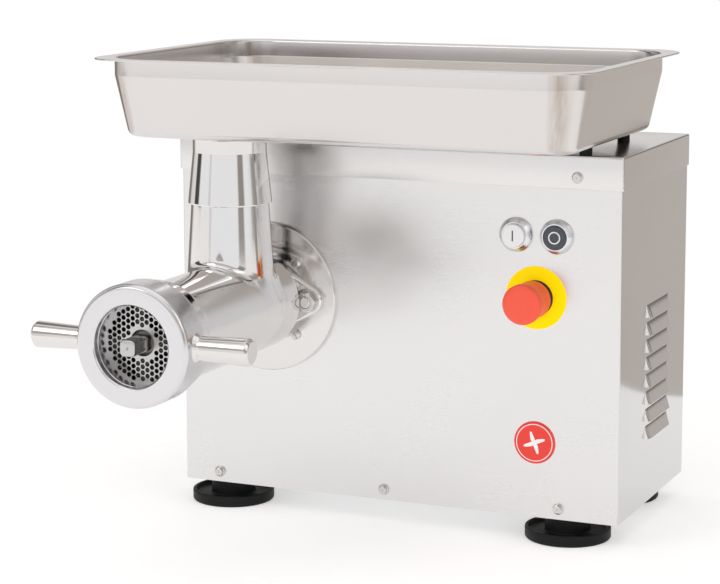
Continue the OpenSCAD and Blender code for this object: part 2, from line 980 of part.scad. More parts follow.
module knife() {
    blade_reach = plate_d / 2 - 3;
    color("gainsboro")
        at_head()
            span(-plate_back_h, -knife_back_h)
                difference() {
                    union() {
                        circle(15);
                        for (a = [0:90:270])
                            rotate(a)
                                polygon([[0, -9], [blade_reach, -3], [blade_reach, 5], [8, 8]]);
                    }
                    square(square_w, center = true);
                }
}

module thrust_washer() {
    color("tan")
        at_head()
            ring_y(-worm_back_h, -rear_wall_h, shaft_r + 8, tang_w * 0.75);
}

// ---------- gearbox ----------

tang_w = 14;
tang_l = 20;

module output_shaft() {
    color("darkgray")
        at_head() {
            span(-worm_back_h - tang_l, -rear_wall_h + 0.5)
                square(tang_w, center = true);
            rod(-rear_wall_h + 0.5, case_back, shaft_r);
            rod(case_back, cover_back - 1, shaft_tail_r);
        }
}

module output_gear() {
    color("steelblue")
        at_head()
            span(gear_start, gear_start + out_face)
                difference() {
                    gear_outline(out_module, out_teeth);
                    circle(shaft_r);
                }
}

module output_seal() {
    color("brown")
        at_head()
            ring_y(-disc_h, case_front, out_bearing_r, shaft_r + running_gap);
}

module output_bearings() {
    color("gainsboro")
        at_head() {
            ring_y(case_front, cavity_front, out_bearing_r, shaft_r + running_gap);
            ring_y(case_back, cover_back, out_rear_bearing_r, shaft_tail_r + running_gap);
        }
}

module intermediate_shaft() {
    color("darkgray")
        at_mid()
            rod(case_front + 1, cover_back - 1, mid_shaft_r);
}

module intermediate_pinion() {
    color("steelblue")
        at_mid()
            span(gear_start, gear_start + out_face)
                difference() {
                    rotate(180 / mid_pinion_teeth)
                        gear_outline(out_module, mid_pinion_teeth);
                    circle(mid_shaft_r);
                }
}

module intermediate_gear() {
    color("steelblue")
        at_mid()
            span(mid_start, mid_start + mid_face)
                difference() {
                    gear_outline(in_module, mid_teeth);
                    circle(mid_shaft_r);
                }
}

module intermediate_bearings() {
    color("gainsboro")
        at_mid() {
            ring_y(case_front, cavity_front, mid_bearing_r, mid_shaft_r + running_gap);
            ring_y(case_back, cover_back, mid_bearing_r, mid_shaft_r + running_gap);
        }
}

// Outline of the gearbox, less a margin
module case_outline(less) {
    l = case_right - case_left - 2 * less;
    w = 2 * case_half_z - 2 * less;
    translate([(case_left + case_right) / 2, head_z])
        rounded(l, w, case_r - less);
}

module gearbox_case() {
    color("dimgray")
        difference() {
            span(case_front, case_back)
                case_outline(0);
            span(cavity_front, case_back + 1)
                case_outline(case_wall);
            at_head()
                rod(0, cavity_front + 1, out_bearing_r);
            at_mid()
                rod(0, cavity_front + 1, mid_bearing_r);
            at_head() {
                for (x = [-1, 1])
                    translate([x * stud_reach, 0, 0])
                        rod(0, cavity_front - 2, stud_r);
                for (x = [-1, 1])
                    for (z = [-1, 1])
                        translate([x * disc_screw_x, 0, z * disc_screw_z])
                            rod(0, sheet_t + 8, disc_screw_r);
            }
            case_screw_places()
                rod(case_back - 12, case_back + 1, case_screw_r);
        }
    color("dimgray")
        case_screw_places()
            ring_y(cavity_front, case_back, case_boss_r, case_screw_r);
}

case_screw_r = 2.5;
case_boss_r = 5;

// The gearbox cover's screws, in the four corners of the case
module case_screw_places() {
    inset = case_r * 0.35 + case_boss_r;
    for (x = [case_left + inset, case_right - inset])
        for (z = [-1, 1])
            translate([x, 0, head_z + z * (case_half_z - inset)])
                children();
}

module gearbox_cover() {
    color("gray")
        difference() {
            span(case_back, cover_back)
                case_outline(0);
            at_head()
                rod(case_back - 1, cover_back + 1, out_rear_bearing_r);
            at_mid()
                rod(case_back - 1, cover_back + 1, mid_bearing_r);
            at_motor()
                rod(case_back - 1, cover_back + 1, motor_bearing_r);
            case_screw_places()
                rod(case_back - 1, cover_back + 1, case_screw_r);
        }
}

module gearbox_screws() {
    color("lightgray")
        case_screw_places() {
            rod(case_back - 12, cover_back, case_screw_r);
            span(cover_back, cover_back + 4)
                circle(4.6, $fn = 6);
        }
}

// ---------- motor ----------

module rotor_shaft() {
    color("darkgray")
        at_motor()
            rod(mid_start, fan_back, motor_shaft_r);
}

module motor_pinion() {
    color("steelblue")
        at_motor()
            span(mid_start, mid_start + mid_face)
                difference() {
                    rotate(180 / motor_teeth)
                        gear_outline(in_module, motor_teeth);
                    circle(motor_shaft_r);
                }
}

core_start = cover_back + 14;
core_end = motor_back - 14;

module rotor_core() {
    color("slategray")
        at_motor()
            ring_y(core_start, core_end, rotor_r, motor_shaft_r);
}

module motor_bearings() {
    color("gainsboro")
        at_motor() {
            ring_y(case_back, cover_back, motor_bearing_r, motor_shaft_r + running_gap);
            ring_y(motor_back, shield_back, motor_bearing_r, motor_shaft_r + running_gap);
        }
}

module motor_frame() {
    fins = 28;
    inner_r = motor_d / 2 - 3 - stator_wall;
    color("slategray")
        at_motor()
            span(cover_back, motor_back)
                difference() {
                    union() {
                        circle(motor_d / 2 - 3);
                        for (i = [0:fins - 1])
                            rotate(360 * i / fins)
                                translate([inner_r + 1, -1])
                                    square([motor_d / 2 - inner_r - 1, 2]);
                    }
                    circle(inner_r);
                }
}

stator_slots = 24;
slot_out_r = 58;
slot_in_r = 46;

module stator_core() {
    color("gray")
        at_motor()
            span(core_start, core_end)
                difference() {
                    circle(motor_d / 2 - 3 - stator_wall);
                    circle(rotor_r + rotor_air_gap);
                    for (i = [0:stator_slots - 1])
                        rotate(360 * i / stator_slots)
                            translate([slot_in_r, -2.5])
                                square([slot_out_r - slot_in_r, 5]);
                }
}

module stator_windings() {
    color("chocolate")
        at_motor() {
            for (y = [core_start - 9, core_end])
                ring_y(y, y + 9, slot_out_r, slot_in_r);
            span(core_start, core_end)
                for (i = [0:stator_slots - 1])
                    rotate(360 * i / stator_slots)
                        translate([slot_in_r, -2.5])
                            square([slot_out_r - slot_in_r, 5]);
        }
}

module motor_end_shield() {
    color("slategray")
        at_motor()
            ring_y(motor_back, shield_back, motor_d / 2 - 3, motor_bearing_r);
}

module cooling_fan() {
    color("black")
        at_motor()
            difference() {
                union() {
                    rod(shield_back + 4, fan_back, 16);
                    for (a = [0:45:315])
                        rotate([0, a, 0])
                            translate([10, shield_back + 5, -1])
                                cube([46, fan_back - shield_back - 6, 2]);
                }
                rod(shield_back, fan_back + 1, motor_shaft_r);
            }
}

module fan_cover() {
    r = motor_d / 2 - 3;
    color("dimgray")
        at_motor()
            difference() {
                rod(shield_back, fan_cover_back, r);
                rod(shield_back - 1, fan_cover_back - 1.5, r - 1.5);
                for (i = [-5:5])
                    translate([-sqrt(pow(r - 12, 2) - pow(i * 10, 2)), 0, i * 10 - 2.5])
                        translate([0, fan_cover_back - 5, 0])
                            cube([2 * sqrt(pow(r - 12, 2) - pow(i * 10, 2)), 10, 5]);
            }
}

module terminal_box() {
    w = 70;
    d = 50;
    h = 26;
    z = head_z + motor_d / 2 - 8;
    color("dimgray")
        difference() {
            translate([motor_x - w / 2, cover_back + 18, z])
                cube([w, d, h]);
            translate([motor_x - w / 2 + 3, cover_back + 21, z + h - 14])
                cube([w - 6, d - 6, 11]);
            at_motor()
                rod(cover_back, motor_back, motor_d / 2 + 0.1);
        }
}

// ---------- controls ----------

module start_bezel() {
    translate([start_x, 0, foot_h + button_z])
        push_bezel(start_r);
}

module stop_bezel() {
    translate([stop_x, 0, foot_h + button_z])
        push_bezel(stop_r);
}

// A conical bezel with its threaded barrel behind the panel
module push_bezel(r) {
    hole = r + button_gap;
    barrel = panel_hole_d / 2;
    color("silver")
        lathe([
            [plunger_r + 0.3, -block_start], [barrel, -block_start], [barrel, 0],
            [bezel_d / 2, 0], [bezel_d / 2, 2.5], [hole + 1, bezel_out], [hole, bezel_out],
            [hole, 1], [plunger_r + 0.3, 1]
        ]);
}

module start_button() {
    color("white")
        translate([start_x, 0, foot_h + button_z])
            push_cap(start_r, start_out);
}

module stop_button() {
    color("dimgray")
        translate([stop_x, 0, foot_h + button_z])
            push_cap(stop_r, stop_out);
}

button_travel = 3.5;

// A round cap on a plunger, free to move in by the button's travel
module push_cap(r, out) {
    lathe([
        [0, 1 - block_start + button_travel], [plunger_r, 1 - block_start + button_travel],
        [plunger_r, 1 + button_travel + 0.5], [r, 1 + button_travel + 0.5], [r, out - 1],
        [r - 1, out], [0, out + 0.2]
    ]);
}

disc_plate_t = 1.2;
estop_base_out = 9;

module estop_disc() {
    color("gold")
        translate([control_x, 0, foot_h + estop_z])
            ring_y(-disc_plate_t, 0, estop_disc_d / 2, panel_hole_d / 2);
}

module estop_base() {
    color("black")
        translate([control_x, 0, foot_h + estop_z])
            lathe([
                [plunger_r + 0.3, -block_start], [panel_hole_d / 2, -block_start],
                [panel_hole_d / 2, disc_plate_t], [17, disc_plate_t], [17, 3],
                [14.7, 3.6], [14.7, estop_base_out], [plunger_r + 0.3, estop_base_out]
            ]);
}

estop_travel = 5;
mushroom_back = 10;
mushroom_front = 44;

module estop_plunger() {
    color("gray")
        translate([control_x, 0, foot_h + estop_z])
            rod(-mushroom_front + 8, block_start - estop_travel - 1, plunger_r);
}

module estop_mushroom() {
    r = mushroom_d / 2;
    base = mushroom_back;
    skirt = 15.2;
    color("tomato")
        translate([control_x, 0, foot_h + estop_z])
            lathe([
                [plunger_r + 0.05, base + 6], [skirt, base + 6], [skirt, base], [18, base],
                [17.4, base + 8], [17, base + 14], [17.6, base + 20], [r, base + 25],
                [r, mushroom_front - 4], [r - 1.2, mushroom_front - 1.6],
                [r - 4, mushroom_front - 0.3], [0, mushroom_front], [0, mushroom_front - 8],
                [plunger_r + 0.05, mushroom_front - 8]
            ]);
}

module panel_nuts() {
    color("lightgray")
        control_places()
            span(sheet_t, sheet_t + 5)
                difference() {
                    circle(15.5, $fn = 6);
                    circle(panel_hole_d / 2);
                }
}

// The axes of the two push buttons and of the emergency stop
module control_places() {
    for (p = [[start_x, button_z], [stop_x, button_z], [control_x, estop_z]])
        translate([p[0], 0, foot_h + p[1]])
            children();
}

module contact_blocks() {
    color("darkgreen")
        control_places()
            translate([-block_w / 2, block_start, -block_h / 2])
                cube([block_w, block_l, block_h]);
}

rail_h = 7.5;
rail_l = 120;
rail_x = body_w / 2 - rail_l - 38.5;

module din_rail() {
    color("lightgray")
        translate([rail_x, sheet_t + base_t + 40, foot_h + base_t])
            cube([rail_l, 35, rail_h]);
}

module contactor() {
    color("ivory")
        translate([rail_x + 15, sheet_t + base_t + 35, foot_h + base_t + rail_h])
            difference() {
                cube([45, 45, 75]);
                for (x = [8, 22, 36])
                    translate([x, 8, 55])
                        cylinder(h = 21, r = 3);
            }
    color("ivory")
        translate([rail_x + 70, sheet_t + base_t + 38, foot_h + base_t + rail_h])
            cube([40, 39, 40]);
}

// ---------- tray ----------

// A thin slab of the tray's outline, so far inside the rim, at a height above its foot
module tray_slab(inset, z, t, corner = pan_r + rim_w) {
    translate([0, 0, z])
        linear_extrude(t)
            rounded(tray_l - 2 * inset, tray_w - 2 * inset, max(corner - inset, 8), $fn = 32);
}

slab_t = 0.2;
foot_round = 4.5;

// The tray's solid form, shrunk by its wall for the hollow
module tray_form(wall, top) {
    foot_inset = tray_draft * 0.86 + wall;
    hull() {
        tray_slab(foot_inset + foot_round * 0.75, wall, slab_t);
        tray_slab(foot_inset + foot_round * 0.22, wall + foot_round * 0.3, slab_t);
        tray_slab(foot_inset, wall + foot_round, slab_t);
    }
    hull() {
        tray_slab(foot_inset, wall + foot_round, slab_t);
        tray_slab(rim_w + wall, tray_h - band_h, slab_t);
    }
    tray_slab(rim_w + wall, tray_h - band_h, band_h + top);
}

module tray_pan() {
    color("lightgray")
        translate([-tray_shift, tray_y, tray_z])
            difference() {
                union() {
                    tray_form(0, 0);
                    tray_slab(0, tray_h - tray_t, tray_t, rim_r);
                }
                tray_form(tray_t, 1);
                translate([head_x() + tray_shift, -neck_y - tray_y, -1])
                    cylinder(h = 10, r = spout_d / 2);
            }
}

module tray_spout() {
    top = tray_z + tray_t;
    inner = spout_d / 2 - spout_wall;
    color("gainsboro")
        at_neck()
            rotate_extrude()
                polygon([
                    [spout_skirt_r - spout_wall, neck_mouth_z], [spout_skirt_r, neck_mouth_z],
                    [spout_d / 2, spout_top_z], [spout_d / 2, top], [spout_d / 2 + 2, top],
                    [spout_d / 2 + 1, top + 2], [feed_d / 2 + 1, top + 2],
                    [feed_d / 2, top + 1], [feed_d / 2, neck_top_z], [inner, neck_top_z],
                    [inner, spout_top_z]
                ]);
}

module place() {
    translate([-origin_x, -origin_y, 0])
        children();
}

place() base_plate();
place() housing_shell();
place() rear_cover();
place() lid();
place() tray_rests();
place() cover_screws();
place() rubber_feet();
place() foot_bolts();
place() badge();
place() cable_gland();
place() mounting_disc();
place() disc_screws();
place() head_casting();
place() head_studs();
place() head_nuts();
place() plate_key();
place() hole_plate();
place() ring_nut();
place() ring_handles();
place() worm();
place() worm_stud();
place() knife();
place() thrust_washer();
place() output_shaft();
place() output_gear();
place() output_seal();
place() output_bearings();
place() intermediate_shaft();
place() intermediate_pinion();
place() intermediate_gear();
place() intermediate_bearings();
place() gearbox_case();
place() gearbox_cover();
place() gearbox_screws();
place() rotor_shaft();
place() motor_pinion();
place() rotor_core();
place() motor_bearings();
place() motor_frame();
place() stator_core();
place() stator_windings();
place() motor_end_shield();
place() cooling_fan();
place() fan_cover();
place() terminal_box();
place() start_bezel();
place() start_button();
place() stop_bezel();
place() stop_button();
place() estop_disc();
place() estop_base();
place() estop_plunger();
place() estop_mushroom();
place() panel_nuts();
place() contact_blocks();
place() contactor();
place() din_rail();
place() tray_pan();
place() tray_spout();
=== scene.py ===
"""Electric meat grinder: the visual model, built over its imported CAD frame. Metres, +Z up."""

import math

import bmesh
import bpy
import numpy as np
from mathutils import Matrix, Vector


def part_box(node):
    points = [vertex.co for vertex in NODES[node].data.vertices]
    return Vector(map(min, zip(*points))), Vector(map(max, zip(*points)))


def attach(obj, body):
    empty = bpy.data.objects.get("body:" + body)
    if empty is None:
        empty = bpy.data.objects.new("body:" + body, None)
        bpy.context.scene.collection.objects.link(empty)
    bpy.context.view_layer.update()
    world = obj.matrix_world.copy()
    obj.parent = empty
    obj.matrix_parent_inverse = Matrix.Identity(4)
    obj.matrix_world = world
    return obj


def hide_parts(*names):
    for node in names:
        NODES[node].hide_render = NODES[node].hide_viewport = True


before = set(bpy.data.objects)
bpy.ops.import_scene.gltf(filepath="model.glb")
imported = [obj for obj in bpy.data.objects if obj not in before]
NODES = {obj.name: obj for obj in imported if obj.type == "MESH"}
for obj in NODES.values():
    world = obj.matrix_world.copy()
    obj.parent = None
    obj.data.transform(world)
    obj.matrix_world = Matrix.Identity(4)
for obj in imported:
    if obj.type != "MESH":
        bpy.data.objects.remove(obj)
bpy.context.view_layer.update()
MM = 0.001
TAU = 2 * math.pi

# Places that many pieces share, read from the frame
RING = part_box("ring_nut")
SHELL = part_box("housing_shell")
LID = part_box("lid")
HEAD_X = (RING[0].x + RING[1].x) / 2
HEAD_Z = (RING[0].z + RING[1].z) / 2
PANEL_Y = SHELL[0].y
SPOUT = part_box("tray_spout")
NECK_Y = (SPOUT[0].y + SPOUT[1].y) / 2
HEAD = (HEAD_X, PANEL_Y, HEAD_Z)


# ---------- shapes ----------

def unit(v):
    return v / np.linalg.norm(v)


def outline(points, steps=6):
    """A closed outline of (a, b) or (a, b, radius) corners, with each radius turned into an arc."""
    out = []
    for i, p in enumerate(points):
        here = np.array(p[:2], float)
        if len(p) < 3 or p[2] == 0:
            out.append(here)
            continue
        before = unit(np.array(points[i - 1][:2], float) - here)
        after = unit(np.array(points[(i + 1) % len(points)][:2], float) - here)
        half = math.acos(np.clip(before @ after, -1, 1)) / 2
        centre = here + unit(before + after) * p[2] / math.sin(half)
        start = here + before * p[2] / math.tan(half) - centre
        end = here + after * p[2] / math.tan(half) - centre
        a = math.atan2(start[1], start[0])
        turn = (math.atan2(end[1], end[0]) - a + math.pi) % TAU - math.pi
        for k in range(steps + 1):
            t = a + turn * k / steps
            out.append(centre + p[2] * np.array([math.cos(t), math.sin(t)]))
    return np.array(out)


AXES = {
    "front": ((1, 0, 0), (0, 0, 1), (0, -1, 0)),
    "back": ((-1, 0, 0), (0, 0, 1), (0, 1, 0)),
    "up": ((1, 0, 0), (0, 1, 0), (0, 0, 1)),
    "right": ((0, 1, 0), (0, 0, 1), (1, 0, 0)),
    "left": ((0, -1, 0), (0, 0, 1), (-1, 0, 0)),
}


def placed(points, axis, centre):
    """Points of (across, up, along) in mm, put on an axis at a centre in metres."""
    return np.array(centre) + (np.asarray(points, float) * MM) @ np.array(AXES[axis], float)


def at_height(flat, height):
    """An outline of (across, up) with the same height given to every point."""
    return np.column_stack([flat, np.full(len(flat), height)])


def circle(r, angles, height):
    """A ring of points at a radius and height, each either one number or one to a point."""
    return np.stack([r * np.cos(angles), r * np.sin(angles), 0 * angles + height], 1)


def foot_of(low, high):
    """The middle of a box's underside."""
    return ((low.x + high.x) / 2, (low.y + high.y) / 2, low.z)


def grid_faces(rows, cols, first=0, wrap=True):
    """Quads between the rows of a grid whose columns close on themselves."""
    out = []
    for i in range(rows - 1):
        for j in range(cols if wrap else cols - 1):
            k = (j + 1) % cols
            out.append((
                first + i * cols + j, first + i * cols + k,
                first + (i + 1) * cols + k, first + (i + 1) * cols + j,
            ))
    return out


def lathe(profile, axis, centre, steps=96):
    """Turns an outline of (radius, height) in mm. A run from pole to pole closes on the axis."""
    profile = np.asarray(profile, float)
    poles = profile[0][0] < 1e-6 and profile[-1][0] < 1e-6
    body = profile[1:-1] if poles else profile
    angles = np.arange(steps) * TAU / steps
    rings = [circle(r, angles, h) for r, h in body]
    if not poles:
        rings.append(rings[0])
    count = len(rings) if poles else len(rings) - 1
    faces = grid_faces(len(rings), steps)
    points = np.concatenate(rings[:count])
    faces = [tuple(i % (count * steps) for i in f) for f in faces]
    if poles:
        ends = np.array([[0, 0, profile[0][1]], [0, 0, profile[-1][1]]])
        points = np.concatenate([points, ends])
        last = count * steps
        top = last - steps
        for j in range(steps):
            k = (j + 1) % steps
            faces.append((last, k, j))
            faces.append((last + 1, top + j, top + k))
    return placed(points, axis, centre), faces


def turned(corners, axis, centre, steps=96, fine=6):
    return lathe(outline(corners, fine), axis, centre, steps)


def rounded_ring(length, width, radius, fine=10):
    """Points of a rounded rectangle about the origin."""
    out = []
    for sx, sy, start in ((1, 1, 0), (-1, 1, 1), (-1, -1, 2), (1, -1, 3)):
        for k in range(fine + 1):
            a = (start + k / fine) * math.pi / 2
            out.append((
                sx * (length / 2 - radius) + radius * math.cos(a),
                sy * (width / 2 - radius) + radius * math.sin(a),
            ))
    return np.array(out)


def loft(rings):
    """Joins closed rings of points one after another, and the last back to the first."""
    cols = len(rings[0])
    points = np.concatenate(rings)
    faces = grid_faces(len(rings), cols)
    last = (len(rings) - 1) * cols
    for j in range(cols):
        k = (j + 1) % cols
        faces.append((last + j, last + k, k, j))
    return points, faces


def joined(*shapes):
    points, faces, first = [], [], 0
    for p, f in shapes:
        points.append(np.asarray(p, float))
        faces += [tuple(i + first for i in face) for face in f]
        first += len(p)
    return np.concatenate(points), faces


def prism(flat, low, high, axis, centre, chamfer=0.0):
    """A flat outline of (across, up) in mm, made solid, with a small chamfer on both ends."""
    flat = np.asarray(flat, float)
    middle = flat.mean(0)
    size = np.abs(flat - middle).max()
    small = middle + (flat - middle) * (1 - chamfer / size)
    levels = [(small, low), (flat, low + chamfer), (flat, high - chamfer), (small, high)]
    if chamfer == 0:
        levels = [(flat, low), (flat, high)]
    rings = [at_height(f, h) for f, h in levels]
    n = len(flat)
    faces = grid_faces(len(rings), n)
    faces.append(tuple(reversed(range(n))))
    faces.append(tuple(range((len(rings) - 1) * n, len(rings) * n)))
    return placed(np.concatenate(rings), axis, centre), faces


def hex_head(flats, height, bevel, axis, centre, base=0.0, bore=0.0, turn=0.0, steps=120):
    """A hexagon with its corners turned off by a cone on the outer end, in mm."""
    angles = np.arange(steps) * TAU / steps
    apothem = flats / 2
    folded = (angles + math.pi / 6) % (math.pi / 3) - math.pi / 6
    reach = apothem / np.cos(folded)
    drop = np.maximum(reach - apothem * (1 - bevel), 0) * math.tan(math.radians(30))
    runs = [(max(bore, 0.01), base), (reach, base)]
    for share in (0, 1):
        r = reach - share * (reach - apothem * (1 - bevel))
        runs.append((r, height - (1 - share) * drop))
    runs.append((max(bore + 0.4, 0.01), height))
    if bore:
        runs.append((bore, height - 0.4))
    points, faces = loft([circle(r, angles + turn, h) for r, h in runs])
    return placed(points, axis, centre), faces


def mesh_object(name, shape, merge=None):
    """An object in the scene from points and faces, with its faces turned outward."""
    points, faces = shape
    mesh = bpy.data.meshes.new(name)
    mesh.from_pydata([tuple(p) for p in points], [], faces)
    bm = bmesh.new()
    if merge:
        mesh.validate()
    bm.from_mesh(mesh)
    if merge:
        bmesh.ops.remove_doubles(bm, verts=bm.verts, dist=merge)
    bmesh.ops.recalc_face_normals(bm, faces=bm.faces)
    bm.to_mesh(mesh)
    bm.free()
    obj = bpy.data.objects.new(name, mesh)
    bpy.context.scene.collection.objects.link(obj)
    return obj


def smoothed(mesh, sharp):
    mesh.shade_smooth()
    mesh.set_sharp_from_angle(angle=math.radians(sharp))


def piece(name, shape, body, slot, material, *nodes, sharp=30):
    """Makes the mesh, smooths it up to an angle, and ties it to its body and CAD nodes."""
    obj = mesh_object(name, shape, merge=1e-7)
    smoothed(obj.data, sharp)
    obj.data.materials.append(material)
    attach(obj, body)
    if nodes:
        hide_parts(*nodes)
    return obj


def carve(obj, shape, sharp=30):
    """Cuts a closed shape out of a piece."""
    cutter = mesh_object("cutter", shape)
    mod = obj.modifiers.new("cut", "BOOLEAN")
    mod.operation, mod.solver, mod.object = "DIFFERENCE", "EXACT", cutter
    depsgraph = bpy.context.evaluated_depsgraph_get()
    cut = bpy.data.meshes.new_from_object(obj.evaluated_get(depsgraph))
    obj.modifiers.remove(mod)
    obj.data = cut
    bpy.data.objects.remove(cutter)
    smoothed(cut, sharp)


def block(low, high):
    """A box between two corners in metres."""
    points = [
        (x, y, z) for z in (low[2], high[2]) for x, y in (
            (low[0], low[1]), (high[0], low[1]), (high[0], high[1]), (low[0], high[1]))
    ]
    faces = [(3, 2, 1, 0), (4, 5, 6, 7), (0, 1, 5, 4), (1, 2, 6, 5), (2, 3, 7, 6), (3, 0, 4, 7)]
    return np.array(points), faces


# ---------- materials ----------

def nodes_of(name):
    mat = bpy.data.materials.new(name)
    mat.use_nodes = True
    tree = mat.node_tree
    return mat, tree, tree.nodes["Principled BSDF"]


def noise(tree, stretch, detail=3.0, rough=0.6, kind="ShaderNodeTexNoise"):
    """Noise in object space, with its cells per metre given along X, Y and Z."""
    coord = tree.nodes.new("ShaderNodeTexCoord")
    mapping = tree.nodes.new("ShaderNodeMapping")
    mapping.inputs["Scale"].default_value = stretch
    tex = tree.nodes.new(kind)
    tex.inputs["Scale"].default_value = 1.0
    tex.inputs["Detail"].default_value = detail
    tex.inputs["Roughness"].default_value = rough
    tree.links.new(coord.outputs["Object"], mapping.inputs["Vector"])
    tree.links.new(mapping.outputs["Vector"], tex.inputs["Vector"])
    return tex.outputs["Fac"]


def math_node(tree, kind, *values):
    """A math node on numbers and sockets."""
    node = tree.nodes.new("ShaderNodeMath")
    node.operation = kind
    for i, v in enumerate(values):
        if isinstance(v, (int, float)):
            node.inputs[i].default_value = v
        else:
            tree.links.new(v, node.inputs[i])
    return node.outputs["Value"]


def spread(tree, value, low, high, start=0.3, end=0.7, kind="LINEAR"):
    """A value from start to end, spread over low to high."""
    node = tree.nodes.new("ShaderNodeMapRange")
    node.interpolation_type = kind
    for key, v in zip(("From Min", "From Max", "To Min", "To Max"), (start, end, low, high)):
        node.inputs[key].default_value = v
    tree.links.new(value, node.inputs["Value"])
    return node.outputs["Result"]


def blended(tree, value, a, b):
    node = tree.nodes.new("ShaderNodeMix")
    node.data_type = "RGBA"
    node.inputs["A"].default_value = (*a, 1)
    node.inputs["B"].default_value = (*b, 1)
    tree.links.new(value, node.inputs["Factor"])
    return node.outputs["Result"]


def bumped(tree, shader, layers):
    """Stacks bump layers of (height, depth in metres, strength)."""
    before = None
    for height, depth, strength in layers:
        node = tree.nodes.new("ShaderNodeBump")
        node.inputs["Distance"].default_value = depth
        node.inputs["Strength"].default_value = strength
        tree.links.new(height, node.inputs["Height"])
        if before:
            tree.links.new(before, node.inputs["Normal"])
        before = node.outputs["Normal"]
    tree.links.new(before, shader.inputs["Normal"])


def shade(color, by):
    return tuple(min(1.0, c * by) for c in color)


def parts_of(tree, kind, output):
    """The X, Y and Z outputs of a geometry or coordinate node's vector."""
    where = tree.nodes.new(kind)
    parts = tree.nodes.new("ShaderNodeSeparateXYZ")
    tree.links.new(where.outputs[output], parts.inputs["Vector"])
    return parts.outputs


def sideways(tree):
    """1 where the surface faces left or right, and 0 where it faces another way."""
    across = parts_of(tree, "ShaderNodeNewGeometry", "True Normal")["X"]
    return spread(tree, math_node(tree, "ABSOLUTE", across), 0.0, 1.0, 0.7, 0.95)


def faced_sideways(tree, value, other):
    """A value, mixed over to another one where the surface faces left or right."""
    mix = tree.nodes.new("ShaderNodeMix")
    mix.inputs["B"].default_value = other
    tree.links.new(sideways(tree), mix.inputs["Factor"])
    tree.links.new(value, mix.inputs["A"])
    return mix.outputs["Result"]


def low_shade_mask(tree, height):
    """Painted shade mask: 1 on faces that look up below a height in object space, and 0 a little
    above it.
    """
    z = parts_of(tree, "ShaderNodeTexCoord", "Object")["Z"]
    up = parts_of(tree, "ShaderNodeNewGeometry", "True Normal")["Z"]
    below = spread(tree, z, 1.0, 0.0, height, height + 2.5 * MM)
    return math_node(tree, "MULTIPLY", below, spread(tree, up, 0.0, 1.0, 0.3, 0.8))


def corner_reflection_streaks(tree):
    """Painted reflection: upright dark streaks, strongest where the surface faces halfway between
    front and side.
    """
    across = math_node(tree, "ABSOLUTE", parts_of(tree, "ShaderNodeNewGeometry", "Normal")["X"])
    off = math_node(tree, "ABSOLUTE", math_node(tree, "SUBTRACT", across, 0.6))
    near = spread(tree, off, 1.0, 0.0, 0.04, 0.24)
    streaks = spread(tree, noise(tree, (160, 160, 4), 2.0, 0.6), 0.35, 1.0)
    return math_node(tree, "MULTIPLY", near, streaks)


def tinted(tree, value, share, tint):
    """A colour, multiplied by a tint as far as the share goes."""
    node = tree.nodes.new("ShaderNodeMix")
    node.data_type, node.blend_type = "RGBA", "MULTIPLY"
    node.inputs["B"].default_value = (*tint, 1)
    tree.links.new(value, node.inputs["A"])
    tree.links.new(share, node.inputs["Factor"])
    return node.outputs["Result"]


# Multipliers for painted light: shade on side faces, reflection streaks at corners, shade on the
# tray's floor
SIDE_PAINTED_SHADE = (0.87, 0.87, 0.875)
# Painted reflection: brownish streaks down the tray's corners
CORNER_PAINTED_REFLECTION = (0.66, 0.59, 0.53)
# Painted shade: darker, brownish floor of the tray
TRAY_FLOOR_PAINTED_SHADE = (0.62, 0.58, 0.52)


def metal(
        name, color, rough, grain, depth=2e-6, streak=0.05, aniso=0.0, tangent=None, wave=0.0,
        side_rough_and_shade=0.0, below=0.0, corners=False):
    """Bare metal, brushed: grain is cells per metre along X, Y and Z.

    side_rough_and_shade: roughness of faces that look left or right, also darkened there by painted
    shade. below:
    the height under which faces that look up get painted shade. corners: painted reflection, dark
    streaks down the drawn corners.
    """
    mat, tree, shader = nodes_of(name)
    shader.inputs["Metallic"].default_value = 1.0
    shader.inputs["Anisotropic"].default_value = aniso
    lines = noise(tree, grain, 5.0, 0.7)
    smudge = noise(tree, (9, 9, 9), 4.0, 0.55)
    tone = math_node(tree, "MULTIPLY_ADD", lines, 0.55, spread(tree, smudge, 0.0, 0.45))
    mixed = blended(tree, tone, shade(color, 1 - streak), shade(color, 1 + streak))
    if side_rough_and_shade:
        # Painted shade: faces that look left or right are darkened
        mixed = tinted(tree, mixed, sideways(tree), SIDE_PAINTED_SHADE)
    if corners:
        # Painted reflection: dark streaks down the corners
        mixed = tinted(tree, mixed, corner_reflection_streaks(tree), CORNER_PAINTED_REFLECTION)
    if below:
        # Painted shade: faces that look up low down, on the tray's floor, are darkened
        mixed = tinted(tree, mixed, low_shade_mask(tree, below), TRAY_FLOOR_PAINTED_SHADE)
    tree.links.new(mixed, shader.inputs["Base Color"])
    varied = spread(tree, tone, rough * 0.85, rough * 1.15)
    if side_rough_and_shade:
        varied = faced_sideways(tree, varied, side_rough_and_shade)
    tree.links.new(varied, shader.inputs["Roughness"])
    layers = [(lines, depth, 1.0)]
    if wave:
        layers.insert(0, (noise(tree, (28, 28, 28), 1.0, 0.4), wave, 1.0))
    bumped(tree, shader, layers)
    if tangent == "round":
        node = tree.nodes.new("ShaderNodeTangent")
        node.direction_type, node.axis = "RADIAL", "Z"
        tree.links.new(node.outputs["Tangent"], shader.inputs["Tangent"])
    elif tangent:
        node = tree.nodes.new("ShaderNodeCombineXYZ")
        for i in range(3):
            node.inputs[i].default_value = tangent[i]
        tree.links.new(node.outputs["Vector"], shader.inputs["Tangent"])
    return mat


